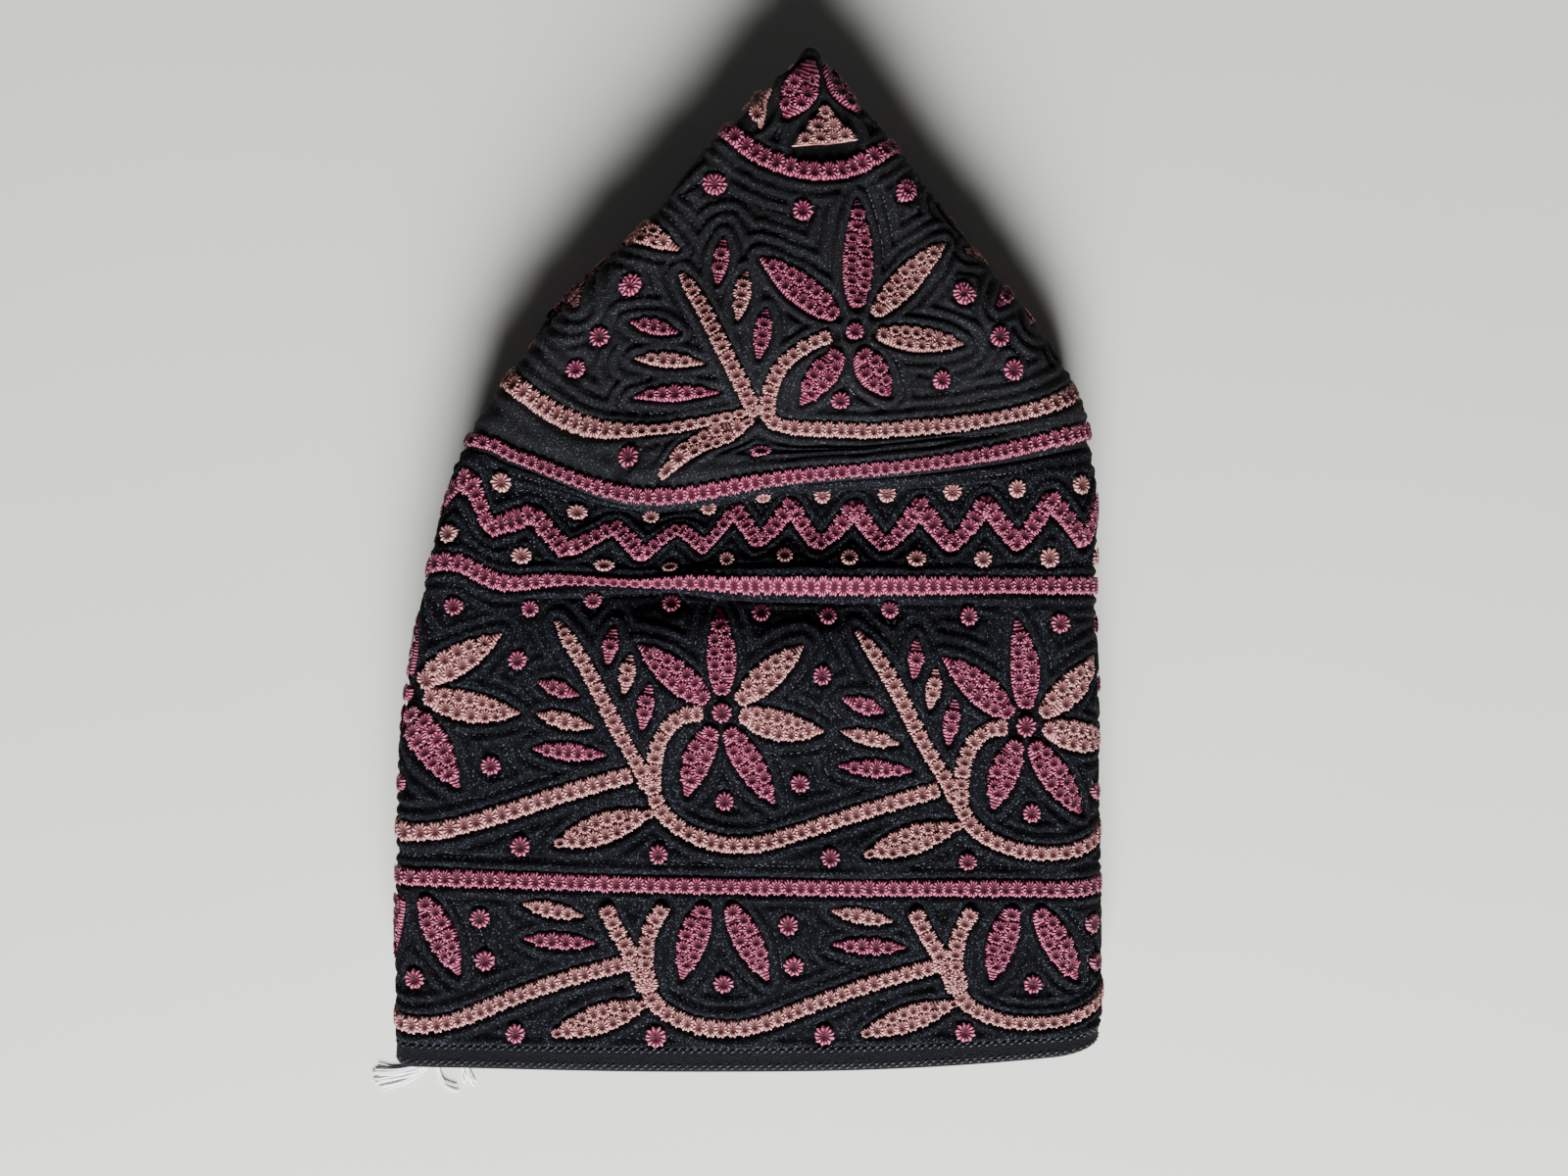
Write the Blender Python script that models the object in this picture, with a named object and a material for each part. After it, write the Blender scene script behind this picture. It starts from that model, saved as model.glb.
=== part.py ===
"""A kumma: a round-topped embroidered cap of padded cotton, folded flat in quarters and lying on a table.

The round crown is a disc and the side is a tall strip sewn round it, with a stitched hem at the rim. The empty
cap is pressed flat and doubled over once, so that four layers of cloth lie on each other and the crown's centre
becomes the point of the parcel. The cap lies in the XY plane with its point towards +Y and its rim towards -Y,
and +Z goes up through the stack of layers. The tables are in millimetres and MM turns them to metres.
"""

import bmesh
import bpy
import numpy as np

MM = 0.001

CROWN_RADIUS = 91.5
SIDE_HEIGHT = 122.5
HEM_HEIGHT = 5.0
CLOTH_THICKNESS = 2.2
HEM_THICKNESS = 2.8
SEAM_GAP = 0.3
RIGHT_FOLD_ROOM = 0.05  # free room inside the right fold, as a share of the parcel's width

RIM = CROWN_RADIUS + SIDE_HEIGHT
HEM_TOP = RIM - HEM_HEIGHT

# One row for each ring round the cap, by its distance from the crown's centre along the cloth. left and right are
# where the ring turns at the two folded edges, sag is how far its middle hangs below them, and end_power gathers
# the difference between the two ends at the right. lift is the underside's height over the table, back_room and
# front_room are the distances between the layers that enclose the hollow, gap the distance between the two doubled
# layers, puff the swell of the front layer's middle, and peek how far the lower fold shows beyond the upper one.
RING_COLUMNS = (
    "ring", "from_centre", "left_x", "left_y", "right_x", "right_y", "sag", "end_power",
    "lift", "back_room", "gap", "front_room", "puff", "peek",
)
RINGS = (
    ("point", 0.0, 11.9, 104.0, 12.3, 104.0, 0.0, 1.0, 15.0, 3.4, 3.0, 3.6, 0.0, 0.0),
    ("tip", 8.0, 5.4, 98.1, 18.9, 97.1, 3.6, 1.0, 13.6, 3.6, 3.0, 3.8, 0.4, 0.0),
    ("small_ring", 23.0, -5.9, 87.7, 30.4, 84.6, 9.4, 1.0, 10.0, 5.0, 3.2, 5.4, 2.2, 0.0),
    ("upper_crown", 45.0, -20.8, 70.5, 43.6, 68.0, 14.8, 1.0, 4.8, 7.0, 3.4, 7.6, 5.0, 2.5),
    ("flower", 66.0, -37.0, 54.0, 58.0, 51.4, 17.2, 1.0, 1.2, 8.4, 3.6, 8.8, 6.6, 5.0),
    ("scroll", 80.0, -48.4, 40.5, 66.7, 38.0, 16.0, 1.0, 0.0, 8.6, 3.6, 9.0, 6.4, 2.0),
    ("crown_line", 88.0, -54.8, 31.4, 70.2, 28.6, 12.2, 1.0, 0.0, 8.6, 3.6, 9.0, 5.8, 0.0),
    ("crown_edge", 91.5, -58.6, 24.8, 71.2, 21.4, 9.4, 1.0, 0.0, 8.6, 3.6, 9.0, 5.0, 0.0),
    ("seam_valley", 97.0, -61.3, 18.0, 72.0, 15.0, 4.6, 1.0, 0.0, 8.4, 3.6, 9.0, 1.6, 0.0),
    ("zigzag", 104.0, -63.2, 11.0, 72.1, 8.1, 3.4, 1.0, 0.0, 8.4, 3.6, 9.0, 1.8, 0.0),
    ("lower_dots", 111.0, -65.2, 3.6, 72.0, 1.2, 1.8, 1.0, 0.0, 8.4, 3.6, 9.0, 2.8, 0.0),
    ("upper_line", 117.0, -66.8, -2.9, 71.9, -5.2, 0.4, 1.0, 0.0, 8.4, 3.6, 9.0, 3.4, 0.0),
    ("under_line", 122.0, -67.8, -8.3, 71.9, -10.6, 0.0, 1.0, 0.0, 8.2, 3.6, 9.0, 2.6, 1.0),
    ("petals", 132.0, -69.8, -18.2, 72.3, -20.8, 0.0, 1.0, 0.0, 8.2, 3.6, 9.0, 2.8, 3.0),
    ("stems", 150.0, -72.2, -36.8, 72.5, -39.4, 0.0, 1.0, 0.0, 8.0, 3.6, 8.8, 2.6, 0.0),
    ("lower_line", 176.0, -73.2, -63.9, 72.8, -66.6, 0.0, 1.0, 0.0, 8.0, 3.6, 8.8, 2.2, 0.0),
    ("low_scroll", 198.0, -73.3, -86.6, 73.2, -87.6, 0.2, 2.0, 0.0, 8.0, 3.6, 8.8, 1.8, 0.0),
    ("rim", 214.0, -73.3, -103.1, 72.4, -99.8, 0.6, 6.0, 0.0, 8.0, 3.6, 8.8, 1.4, 0.0),
)

# One row for each dent, roll or tuck in the front layer. from_centre and across (0 at the left fold, 1 at the
# right) are its middle, reach and spread are how far it runs along and across, height is in millimetres, up or
# down, and pull is how far it draws the cloth towards the rim.
DENT_COLUMNS = ("dent", "from_centre", "across", "reach", "spread", "height", "pull")
DENTS = (
    ("crown_edge_roll", 88.5, 0.45, 4.5, 0.55, 1.2, 0.0),
    ("overhang", 92.5, 0.45, 3.5, 0.30, 0.4, 1.6),
    ("left_sag", 91.0, 0.28, 8.0, 0.16, 0.0, 2.0),
    ("zigzag_hollow", 98.0, 0.36, 4.5, 0.16, -1.6, 0.8),
    ("left_roll", 107.0, 0.17, 6.0, 0.13, 1.4, 0.6),
    ("tuck_over_the_line", 111.5, 0.36, 4.5, 0.12, -1.2, 2.0),
    ("shelf", 114.5, 0.60, 4.0, 0.32, 1.2, 0.0),
    ("valley_under_shelf", 121.0, 0.48, 4.0, 0.42, -2.0, 0.0),
    ("slack_by_the_line", 120.0, 0.34, 3.5, 0.09, -1.0, -1.0),
    ("swell_of_petals", 136.0, 0.45, 15.0, 0.50, 1.2, 0.0),
    ("left_hollow", 145.0, 0.12, 12.0, 0.10, -1.2, 0.0),
    ("roll_by_the_line", 171.0, 0.50, 5.0, 0.60, 0.7, 0.0),
    ("scroll_groove", 82.5, 0.88, 3.5, 0.16, -1.5, 0.0),
)

# How many steps the mesh takes along each stretch of a ring, and how far out each loft's rings lie.
FLAT_STEPS = {"front_outer": 18, "back_outer": 8, "back_inner": 8, "front_inner": 8}
FOLD_STEPS = {"right_outer": 8, "left_lower": 6, "right_inner": 5, "left_upper": 6}
CROWN_RINGS = (1.0, 3.0, 6.0, 10.0, 16.0, 24.0, 34.0, 46.0, 58.0, 70.0, 78.0, 83.0, 87.0, 89.5)
HOLLOW_TOP = 10.0
SIDE_RINGS = (93.0, 95.0, 97.5, 101.0, 105.0, 109.0, 112.5, 116.0, 119.0, 122.5, 128.0, 138.0, 155.0, 175.0, 195.0)
TIP_DOME = 14.0  # the layers close in to the point over this distance
SHOULDER = 0.40  # share of the width over which the front layer rises from a fold
WIDEST_FOLD = {"right_outer": 0.42, "right_inner": 0.21, "left": 0.17}  # largest share of the width that a fold takes


def column(name):
    """One column of RINGS."""
    place = RING_COLUMNS.index(name)
    return np.array([row[place] for row in RINGS], float)


def along(name, distance):
    """A column of RINGS at a distance from the crown's centre, on a smooth curve that never overshoots a row."""
    stations, values = column("from_centre"), column(name)
    steps = np.diff(stations)
    rises = np.diff(values) / steps
    level = rises[1:] * rises[:-1] <= 0.0
    total = np.where(level, 1.0, rises[1:] + rises[:-1])
    slopes = np.concatenate([rises[:1], np.where(level, 0.0, 2.0 * rises[1:] * rises[:-1] / total), rises[-1:]])
    row = int(np.clip(np.searchsorted(stations, distance) - 1, 0, len(steps) - 1))
    t = (distance - stations[row]) / steps[row]
    ends = values[row] * (1 + 2 * t) * (1 - t) ** 2 + values[row + 1] * t * t * (3 - 2 * t)
    return ends + steps[row] * (slopes[row] * t * (1 - t) ** 2 - slopes[row + 1] * t * t * (1 - t))


def ease(share):
    """0 at 0 and 1 at 1, level at both ends."""
    share = np.clip(share, 0.0, 1.0)
    return share * share * (3.0 - 2.0 * share)


def plateau(share):
    """1 over the middle of a layer, falling smoothly to 0 at its two folds."""
    return ease(share / SHOULDER) * ease((1.0 - share) / SHOULDER)


def dents(name, distance, across):
    """What the dents and rolls add to a front layer: their height or their pull."""
    total = np.zeros_like(across)
    for row in DENTS:
        dent = dict(zip(DENT_COLUMNS, row))
        along_it = (distance - dent["from_centre"]) / dent["reach"]
        across_it = (across - dent["across"]) / dent["spread"]
        total += dent[name] * np.exp(-along_it**2 - across_it**2)
    return total


def on_table(distance, section):
    """Points of a ring from its section: how far across, how high, and how far pulled towards the rim."""
    across, height, pull = section.T
    left_x, left_y = along("left_x", distance), along("left_y", distance)
    right_x, right_y = along("right_x", distance), along("right_y", distance)
    run = np.clip(across, 0.0, 1.0)
    x = left_x + (right_x - left_x) * across
    y = left_y + (right_y - left_y) * run ** along("end_power", distance)
    y = y - along("sag", distance) * 4.0 * run * (1.0 - run) - pull
    return np.stack([x, y, height], axis=1) * MM


def fold(middle_x, middle_z, half_width, half_height, first, last, steps):
    """Part of an ellipse from one angle to another in degrees, without its last point."""
    angle = np.radians(np.linspace(first, last, steps + 1)[:-1])
    return np.stack([middle_x + half_width * np.cos(angle), middle_z + half_height * np.sin(angle)], axis=1)


def ring(distance, thickness, skin):
    """One ring round the cap, on its outer skin (skin 1), its inner skin (-1) or the cloth's middle (0)."""
    near_tip = min(distance / TIP_DOME, 1.0)
    scale = np.sqrt(1.0 - (1.0 - near_tip) ** 2)
    width = float(np.hypot(along("right_x", distance) - along("left_x", distance),
                           along("right_y", distance) - along("left_y", distance)))
    cloth = thickness * scale
    offset = skin * cloth / 2
    rooms = [along(name, distance) * scale for name in ("back_room", "gap", "front_room")]
    full_height = (sum(rooms) + cloth) / scale
    back_outer = along("lift", distance) + (1.0 - scale) * full_height / 2 + cloth / 2
    back_inner = back_outer + rooms[0]
    front_inner = back_inner + rooms[1]
    front_outer = front_inner + rooms[2]

    upper_left = cloth / 2
    lower_left = cloth / 2 - along("peek", distance) * scale
    outer_right = width - cloth / 2
    inner_right = outer_right - cloth - RIGHT_FOLD_ROOM * width
    outer_fold = min((front_outer - back_outer) / 2, WIDEST_FOLD["right_outer"] * width)
    inner_fold = min(rooms[1] / 2, WIDEST_FOLD["right_inner"] * width)
    upper_fold = min(rooms[2] / 2, WIDEST_FOLD["left"] * width)
    lower_fold = min(rooms[0] / 2, WIDEST_FOLD["left"] * width)
    inner_offset = offset * inner_fold * 2 / rooms[1]

    def flat(name, start, end, height):
        reach = np.linspace(start, end, FLAT_STEPS[name] + 1)[:-1]
        return np.stack([reach, np.full_like(reach, height)], axis=1)

    front = flat("front_outer", upper_left + upper_fold, outer_right - outer_fold, front_outer + offset)
    share = (front[:, 0] - front[0, 0]) / (outer_right - outer_fold - front[0, 0])
    across = front[:, 0] / width
    front[:, 1] += scale * (along("puff", distance) + dents("height", distance, across)) * plateau(share)
    section = np.concatenate([
        front,
        fold(outer_right - outer_fold, (front_outer + back_outer) / 2, outer_fold + offset,
             (front_outer - back_outer) / 2 + offset, 90.0, -90.0, FOLD_STEPS["right_outer"]),
        flat("back_outer", outer_right - outer_fold, lower_left + lower_fold, back_outer - offset),
        fold(lower_left + lower_fold, (back_outer + back_inner) / 2, lower_fold + offset,
             rooms[0] / 2 + offset, 270.0, 90.0, FOLD_STEPS["left_lower"]),
        flat("back_inner", lower_left + lower_fold, inner_right - inner_fold, back_inner + offset),
        fold(inner_right - inner_fold, (back_inner + front_inner) / 2, inner_fold - inner_offset,
             rooms[1] / 2 - offset, -90.0, 90.0, FOLD_STEPS["right_inner"]),
        flat("front_inner", inner_right - inner_fold, upper_left + upper_fold, front_inner - offset),
        fold(upper_left + upper_fold, (front_inner + front_outer) / 2, upper_fold + offset,
             rooms[2] / 2 + offset, 270.0, 90.0, FOLD_STEPS["left_upper"]),
    ])
    pull = np.zeros(len(section))
    pull[: len(front)] = dents("pull", distance, across) * plateau(share)
    return on_table(distance, np.column_stack([section[:, 0] / width, section[:, 1], pull]))


def join_rings(mesh, first, second):
    count = len(first)
    for here in range(count):
        after = (here + 1) % count
        mesh.faces.new((first[here], first[after], second[after], second[here]))


def loft(mesh, rings):
    """Faces through a row of rings. It returns the first and the last ring's vertices."""
    made = [[mesh.verts.new(point) for point in points] for points in rings]
    for first, second in zip(made, made[1:]):
        join_rings(mesh, first, second)
    return made[0], made[-1]


def close_point(mesh, loop, place):
    point = mesh.verts.new(place)
    for here, vertex in enumerate(loop):
        mesh.faces.new((vertex, loop[(here + 1) % len(loop)], point))


def close_hollow(mesh, loop):
    """Closes the hollow's thin U at its top end, near the point."""
    edges = [mesh.edges.get((loop[here - 1], vertex)) for here, vertex in enumerate(loop)]
    end = bmesh.ops.contextual_create(mesh, geom=edges)
    bmesh.ops.triangulate(mesh, faces=end["faces"], quad_method="BEAUTY", ngon_method="BEAUTY")


def cloth_material(name, colour, roughness):
    material = bpy.data.materials.new(name)
    material.use_nodes = True
    shader = material.node_tree.nodes["Principled BSDF"]
    shader.inputs["Base Color"].default_value = (*colour, 1.0)
    shader.inputs["Roughness"].default_value = roughness
    shader.inputs["Metallic"].default_value = 0.0
    return material


def finish(mesh, name, material, collection):
    bmesh.ops.recalc_face_normals(mesh, faces=mesh.faces[:])
    if mesh.calc_volume(signed=True) < 0.0:
        bmesh.ops.reverse_faces(mesh, faces=mesh.faces[:])
    data = bpy.data.meshes.new(name)
    mesh.to_mesh(data)
    mesh.free()
    data.shade_smooth()
    data.set_sharp_from_angle(angle=np.radians(50.0))
    data.materials.append(material)
    made = bpy.data.objects.new(name, data)
    collection.objects.link(made)
    return made


def crown(material, collection):
    """The round top: a closed pocket of cloth from its centre, the parcel's point, to the seam."""
    mesh = bmesh.new()
    edge = CROWN_RADIUS - SEAM_GAP / 2
    stops = [*CROWN_RINGS, edge]
    outer_top, outer_edge = loft(mesh, [ring(stop, CLOTH_THICKNESS, 1) for stop in stops])
    middle_height = np.mean(ring(stops[0], CLOTH_THICKNESS, 0)[:, 2]) / MM
    close_point(mesh, outer_top, on_table(0.0, np.array([[0.5, middle_height, 0.0]]))[0])
    inner_stops = [stop for stop in stops if stop >= HOLLOW_TOP]
    inner_top, inner_edge = loft(mesh, [ring(stop, CLOTH_THICKNESS, -1) for stop in inner_stops])
    close_hollow(mesh, inner_top)
    join_rings(mesh, outer_edge, inner_edge)
    return finish(mesh, "crown", material, collection)


def side_band(material, collection):
    """The tall strip round the side, from the seam to the hem."""
    mesh = bmesh.new()
    stops = [CROWN_RADIUS + SEAM_GAP / 2, *SIDE_RINGS, HEM_TOP - SEAM_GAP / 2]
    outer_top, outer_end = loft(mesh, [ring(stop, CLOTH_THICKNESS, 1) for stop in stops])
    inner_top, inner_end = loft(mesh, [ring(stop, CLOTH_THICKNESS, -1) for stop in stops])
    join_rings(mesh, outer_top, inner_top)
    join_rings(mesh, outer_end, inner_end)
    return finish(mesh, "side_band", material, collection)


def rim_hem(material, collection):
    """The turned and stitched edge of the rim, a little thicker than the band, with a rounded lip."""
    mesh = bmesh.new()
    lip = HEM_THICKNESS / 2
    stops = [HEM_TOP + SEAM_GAP / 2, RIM - lip]
    outer_top, outer_end = loft(mesh, [ring(stop, HEM_THICKNESS, 1) for stop in stops])
    inner_top, inner_end = loft(mesh, [ring(stop, HEM_THICKNESS, -1) for stop in stops])
    join_rings(mesh, outer_top, inner_top)
    corner = np.sqrt(0.5)
    bend = RIM - lip + lip * corner
    lips = [ring(bend, HEM_THICKNESS, corner), ring(RIM, HEM_THICKNESS, 0), ring(bend, HEM_THICKNESS, -corner)]
    lip_start, lip_end = loft(mesh, lips)
    join_rings(mesh, outer_end, lip_start)
    join_rings(mesh, lip_end, inner_end)
    return finish(mesh, "rim_hem", material, collection)


def main():
    for old in list(bpy.data.objects):
        bpy.data.objects.remove(old)
    collection = bpy.data.collections.new("kumma_cap")
    bpy.context.scene.collection.children.link(collection)
    black_cotton = cloth_material("black_cotton", (0.012, 0.013, 0.018), 0.85)
    hem_cotton = cloth_material("hem_cotton", (0.009, 0.011, 0.016), 0.80)
    crown(black_cotton, collection)
    side_band(black_cotton, collection)
    rim_hem(hem_cotton, collection)


main()
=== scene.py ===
import math

import bmesh
import bpy
import numpy as np
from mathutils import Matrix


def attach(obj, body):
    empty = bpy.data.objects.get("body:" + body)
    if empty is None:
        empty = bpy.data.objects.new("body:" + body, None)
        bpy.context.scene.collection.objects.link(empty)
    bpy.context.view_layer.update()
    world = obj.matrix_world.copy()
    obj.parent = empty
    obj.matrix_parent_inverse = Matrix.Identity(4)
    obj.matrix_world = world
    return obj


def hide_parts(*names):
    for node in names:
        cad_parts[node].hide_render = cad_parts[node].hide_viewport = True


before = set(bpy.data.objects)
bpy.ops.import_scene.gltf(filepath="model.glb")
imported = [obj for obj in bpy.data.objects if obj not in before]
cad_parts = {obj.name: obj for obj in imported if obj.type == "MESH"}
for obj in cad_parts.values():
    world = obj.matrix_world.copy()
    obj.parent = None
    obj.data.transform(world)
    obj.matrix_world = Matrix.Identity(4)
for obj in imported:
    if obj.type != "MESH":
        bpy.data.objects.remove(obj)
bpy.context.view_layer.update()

bl_info = {
    "name": "Folded Kumma Cap",
    "version": (1, 0, 0),
    "blender": (4, 5, 0),
    "location": "3D View > Sidebar > Kumma",
    "description": "Dresses a cap folded in quarters with quilted cotton, eyelet embroidery and stitches",
    "category": "Add Mesh",
}

# All sizes in the tables are millimetres. Distances run over the cloth from the crown's centre,
# and a share is how far round the cap a point lies, from 0 at the left fold back to 1.
MM = 0.001
CROWN_RADIUS = 91.5
HEM_TOP = 209.0
RIM = 214.0
SEAM_GAP = 0.04
CLOTH_THICKNESS = 2.2
TIP_DOME = 14.0
SHOULDER = 0.40
PULL_SHOULDER = 0.04
RIGHT_FOLD_ROOM = 0.05
ROUND_THE_CAP = 575.0

# The folded shape, ring by ring: where the ring's two ends lie, how far it sags between them,
# and the room between its four layers.
RING_COLUMNS = (
    "from_centre", "left_x", "left_y", "right_x", "right_y", "sag", "end_power",
    "lift", "back_room", "gap", "front_room", "puff", "peek",
)
RINGS = (
    (0.0, 11.9, 104.0, 12.3, 104.0, 0.0, 1.0, 15.0, 3.4, 3.0, 3.6, 0.0, 0.0),
    (8.0, 5.4, 98.1, 18.9, 97.1, 3.6, 1.0, 13.6, 3.6, 3.0, 3.8, 0.4, 0.0),
    (23.0, -5.9, 87.7, 30.4, 84.6, 9.4, 1.0, 10.0, 5.0, 3.2, 5.4, 2.2, 0.0),
    (45.0, -20.8, 70.5, 43.6, 68.0, 14.8, 1.0, 4.8, 7.0, 3.4, 7.6, 5.0, 2.5),
    (66.0, -37.0, 54.0, 58.0, 51.4, 17.2, 1.0, 1.2, 8.4, 3.6, 8.8, 6.6, 5.0),
    (80.0, -48.4, 40.5, 66.7, 38.0, 16.0, 1.0, 0.0, 8.6, 3.6, 9.0, 6.4, 2.0),
    (88.0, -54.8, 31.4, 70.2, 28.6, 10.2, 1.0, 0.0, 8.6, 3.6, 9.0, 5.8, 0.0),
    (91.5, -58.6, 24.8, 71.2, 21.4, 6.6, 1.0, 0.0, 8.6, 3.6, 9.0, 5.0, 0.0),
    (95.0, -60.5, 20.4, 71.8, 17.2, 3.4, 1.0, 0.0, 8.5, 3.6, 9.0, 2.3, 0.0),
    (97.0, -61.3, 18.0, 72.0, 15.0, 2.6, 1.0, 0.0, 8.4, 3.6, 9.0, 1.9, 0.0),
    (104.0, -63.2, 11.0, 72.1, 8.1, 3.4, 1.0, 0.0, 8.4, 3.6, 9.0, 1.8, 0.0),
    (111.0, -65.2, 3.6, 72.0, 1.2, 1.8, 1.0, 0.0, 8.4, 3.6, 9.0, 2.8, 0.0),
    (117.0, -66.8, -2.9, 71.9, -5.2, 0.4, 1.0, 0.0, 8.4, 3.6, 9.0, 3.4, 0.0),
    (122.0, -67.8, -8.3, 71.9, -10.6, 0.0, 1.0, 0.0, 8.2, 3.6, 9.0, 2.6, 1.0),
    (132.0, -69.8, -18.2, 72.3, -20.8, 0.0, 1.0, 0.0, 8.2, 3.6, 9.0, 2.8, 3.0),
    (150.0, -72.2, -36.8, 72.5, -39.4, 0.0, 1.0, 0.0, 8.0, 3.6, 8.8, 2.6, 0.0),
    (176.0, -73.2, -63.9, 72.8, -66.6, 0.0, 1.0, 0.0, 8.0, 3.6, 8.8, 2.2, 0.0),
    (198.0, -73.3, -86.6, 73.2, -87.6, 0.2, 2.0, 0.0, 8.0, 3.6, 8.8, 1.8, 0.0),
    (214.0, -73.3, -103.1, 72.4, -99.8, 0.6, 6.0, 0.0, 8.0, 3.6, 8.8, 1.4, 0.0),
)

# Rolls and hollows of the upper layer. "across" and "spread" are shares of the cap's width,
# "height" lifts the cloth and "pull" drags it down the table.
DENT_COLUMNS = ("from_centre", "across", "reach", "spread", "height", "pull")
DENTS = (
    (88.5, 0.45, 4.5, 0.55, 1.2, 0.0),
    (92.5, 0.45, 3.5, 0.30, 0.2, 0.0),
    (91.0, 0.28, 5.0, 0.165, 0.0, 5.4),
    (99.0, 0.26, 7.0, 0.175, 0.0, 3.2),
    (98.0, 0.36, 4.5, 0.16, -1.0, 0.6),
    (107.0, 0.17, 6.0, 0.13, 1.4, 0.6),
    (111.5, 0.36, 4.5, 0.12, -1.2, 2.0),
    (114.5, 0.60, 4.0, 0.32, 1.2, 0.0),
    (121.0, 0.48, 4.0, 0.42, -2.0, 0.0),
    (120.0, 0.34, 3.5, 0.09, -1.0, -1.0),
    (136.0, 0.45, 15.0, 0.50, 1.2, 0.0),
    (145.0, 0.12, 12.0, 0.10, -1.2, 0.0),
    (171.0, 0.50, 5.0, 0.60, 0.7, 0.0),
    (82.5, 0.88, 3.5, 0.16, -1.5, 0.0),
)

# Embroidery. The crown's motif is drawn on the flat disc: x to the right of the flower's own line
# and y out from the crown's centre. The side's motifs are drawn in x from their flower's middle and
# y from the crown's centre, like the distances. Widths are whole widths.
CROWN_REPEATS = 5
CROWN_FLOWER_TURN = 48.3
CROWN_SLIP = (2.0, 45.0)
CROWN_SHAPES = (
    ("petal", "pink", 6.2, ((1.0, 50.6), (2.2, 40.0), (3.4, 28.2))),
    ("petal", "pink", 6.2, ((-3.2, 52.2), (-9.6, 44.6), (-16.2, 37.2))),
    ("petal", "beige", 6.2, ((4.4, 52.8), (12.6, 46.4), (21.6, 40.4))),
    ("petal", "beige", 5.4, ((4.6, 57.2), (13.8, 59.6), (23.6, 61.4))),
    ("petal", "pink", 6.0, ((0.8, 60.4), (3.6, 65.8), (7.2, 71.0))),
    ("petal", "pink", 6.2, ((-3.2, 59.8), (-7.2, 65.2), (-10.6, 70.6))),
    ("strip", "beige", 3.1, ((-4.6, 56.0), (-9.9, 57.8), (-14.4, 61.4), (-16.6, 66.6), (-17.0, 71.8))),
    ("stem", "beige", 2.9, ((-18.6, 71.6), (-20.6, 67.6), (-25.0, 55.4), (-28.0, 46.6), (-32.0, 37.6))),
    ("leaf", "pink", 3.2, ((-33.0, 51.0), (-42.4, 46.2))),
    ("leaf", "beige", 3.3, ((-28.6, 58.6), (-42.0, 54.4))),
    ("leaf", "pink", 3.5, ((-26.0, 65.4), (-42.4, 62.8))),
    ("leaf", "pink", 3.2, ((-25.0, 41.8), (-22.6, 32.0))),
    ("leaf", "beige", 3.2, ((-21.8, 50.2), (-19.0, 39.6))),
    ("leaf", "pink", 3.3, ((-18.6, 59.2), (-16.2, 48.0))),
    ("scroll", "beige", 3.2, ((-17.4, 71.0), (-15.2, 74.0), (-10.5, 75.8), (-1.5, 77.4), (5.0, 78.2),
                             (12.6, 78.0), (22.0, 77.4), (33.2, 75.4), (43.0, 72.0), (50.4, 66.8),
                             (55.6, 59.6), (58.8, 51.0), (60.4, 43.8), (60.8, 39.4))),
    ("leaf", "beige", 6.4, ((-19.4, 72.6), (-26.4, 75.6), (-35.2, 81.0))),
    ("dot", "pink", 3.9, ((-22.6, 21.9), (-7.0, 29.2), (13.4, 29.0), (-41.2, 38.4), (24.2, 51.8),
                          (31.0, 60.4), (34.6, 66.4))),
    ("dot", "pink", 3.8, ((18.5, 68.4),)),
    ("dot", "pink", 3.6, ((-2.9, 70.7),)),
    ("dot", "pink", 3.9, ((-42.2, 75.4), (-16.9, 81.9))),
    ("dot", "pink", 3.6, ((0.0, 55.9),)),
)
CENTRE_REPEATS = 6
CENTRE_SHAPES = (
    ("leaf", "pink", 6.4, ((-1.4, 2.0), (-4.4, 6.4), (-7.9, 11.4))),
    ("wedge", "beige", 12.0, ((-0.8, 10.4, 1.4), (-1.0, 12.6, 4.6), (-1.2, 15.0, 8.8), (-1.3, 17.2, 12.6))),
)
SMALL_RING = (22.3, 3.4)
CROWN_LINE = (90.0, 1.75)
UPPER_LINE = (116.8, 3.3)
LOWER_LINE = (176.2, 3.3)

ZIGZAGS = 40
ZIGZAG_MIDDLE = 103.9
ZIGZAG_RISE = 4.2
ZIGZAG_WIDTH = 3.6
ZIGZAG_DOTS = ((97.3, 0.5), (111.3, 0.0))
ZIGZAG_START = 2.6
# How a hand drew the lines unevenly near the left fold: height, place round the cap and reach.
ZIGZAG_STRETCH = ((6.4, 37.0, 24.0),)
ZIGZAG_WANDER = ((1.7, 30.0, 22.0), (-1.8, 62.0, 11.0), (-4.0, 1.0, 8.0))
ZIGZAG_SQUEEZE = ((0.36, 47.0, 6.0),)
UPPER_LINE_WANDER = ((1.2, 13.0, 7.0), (-0.8, 50.0, 8.0), (-2.6, 0.0, 6.5))
UPPER_LINE_PINCH = ((0.45, 34.0, 15.0),)

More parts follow.
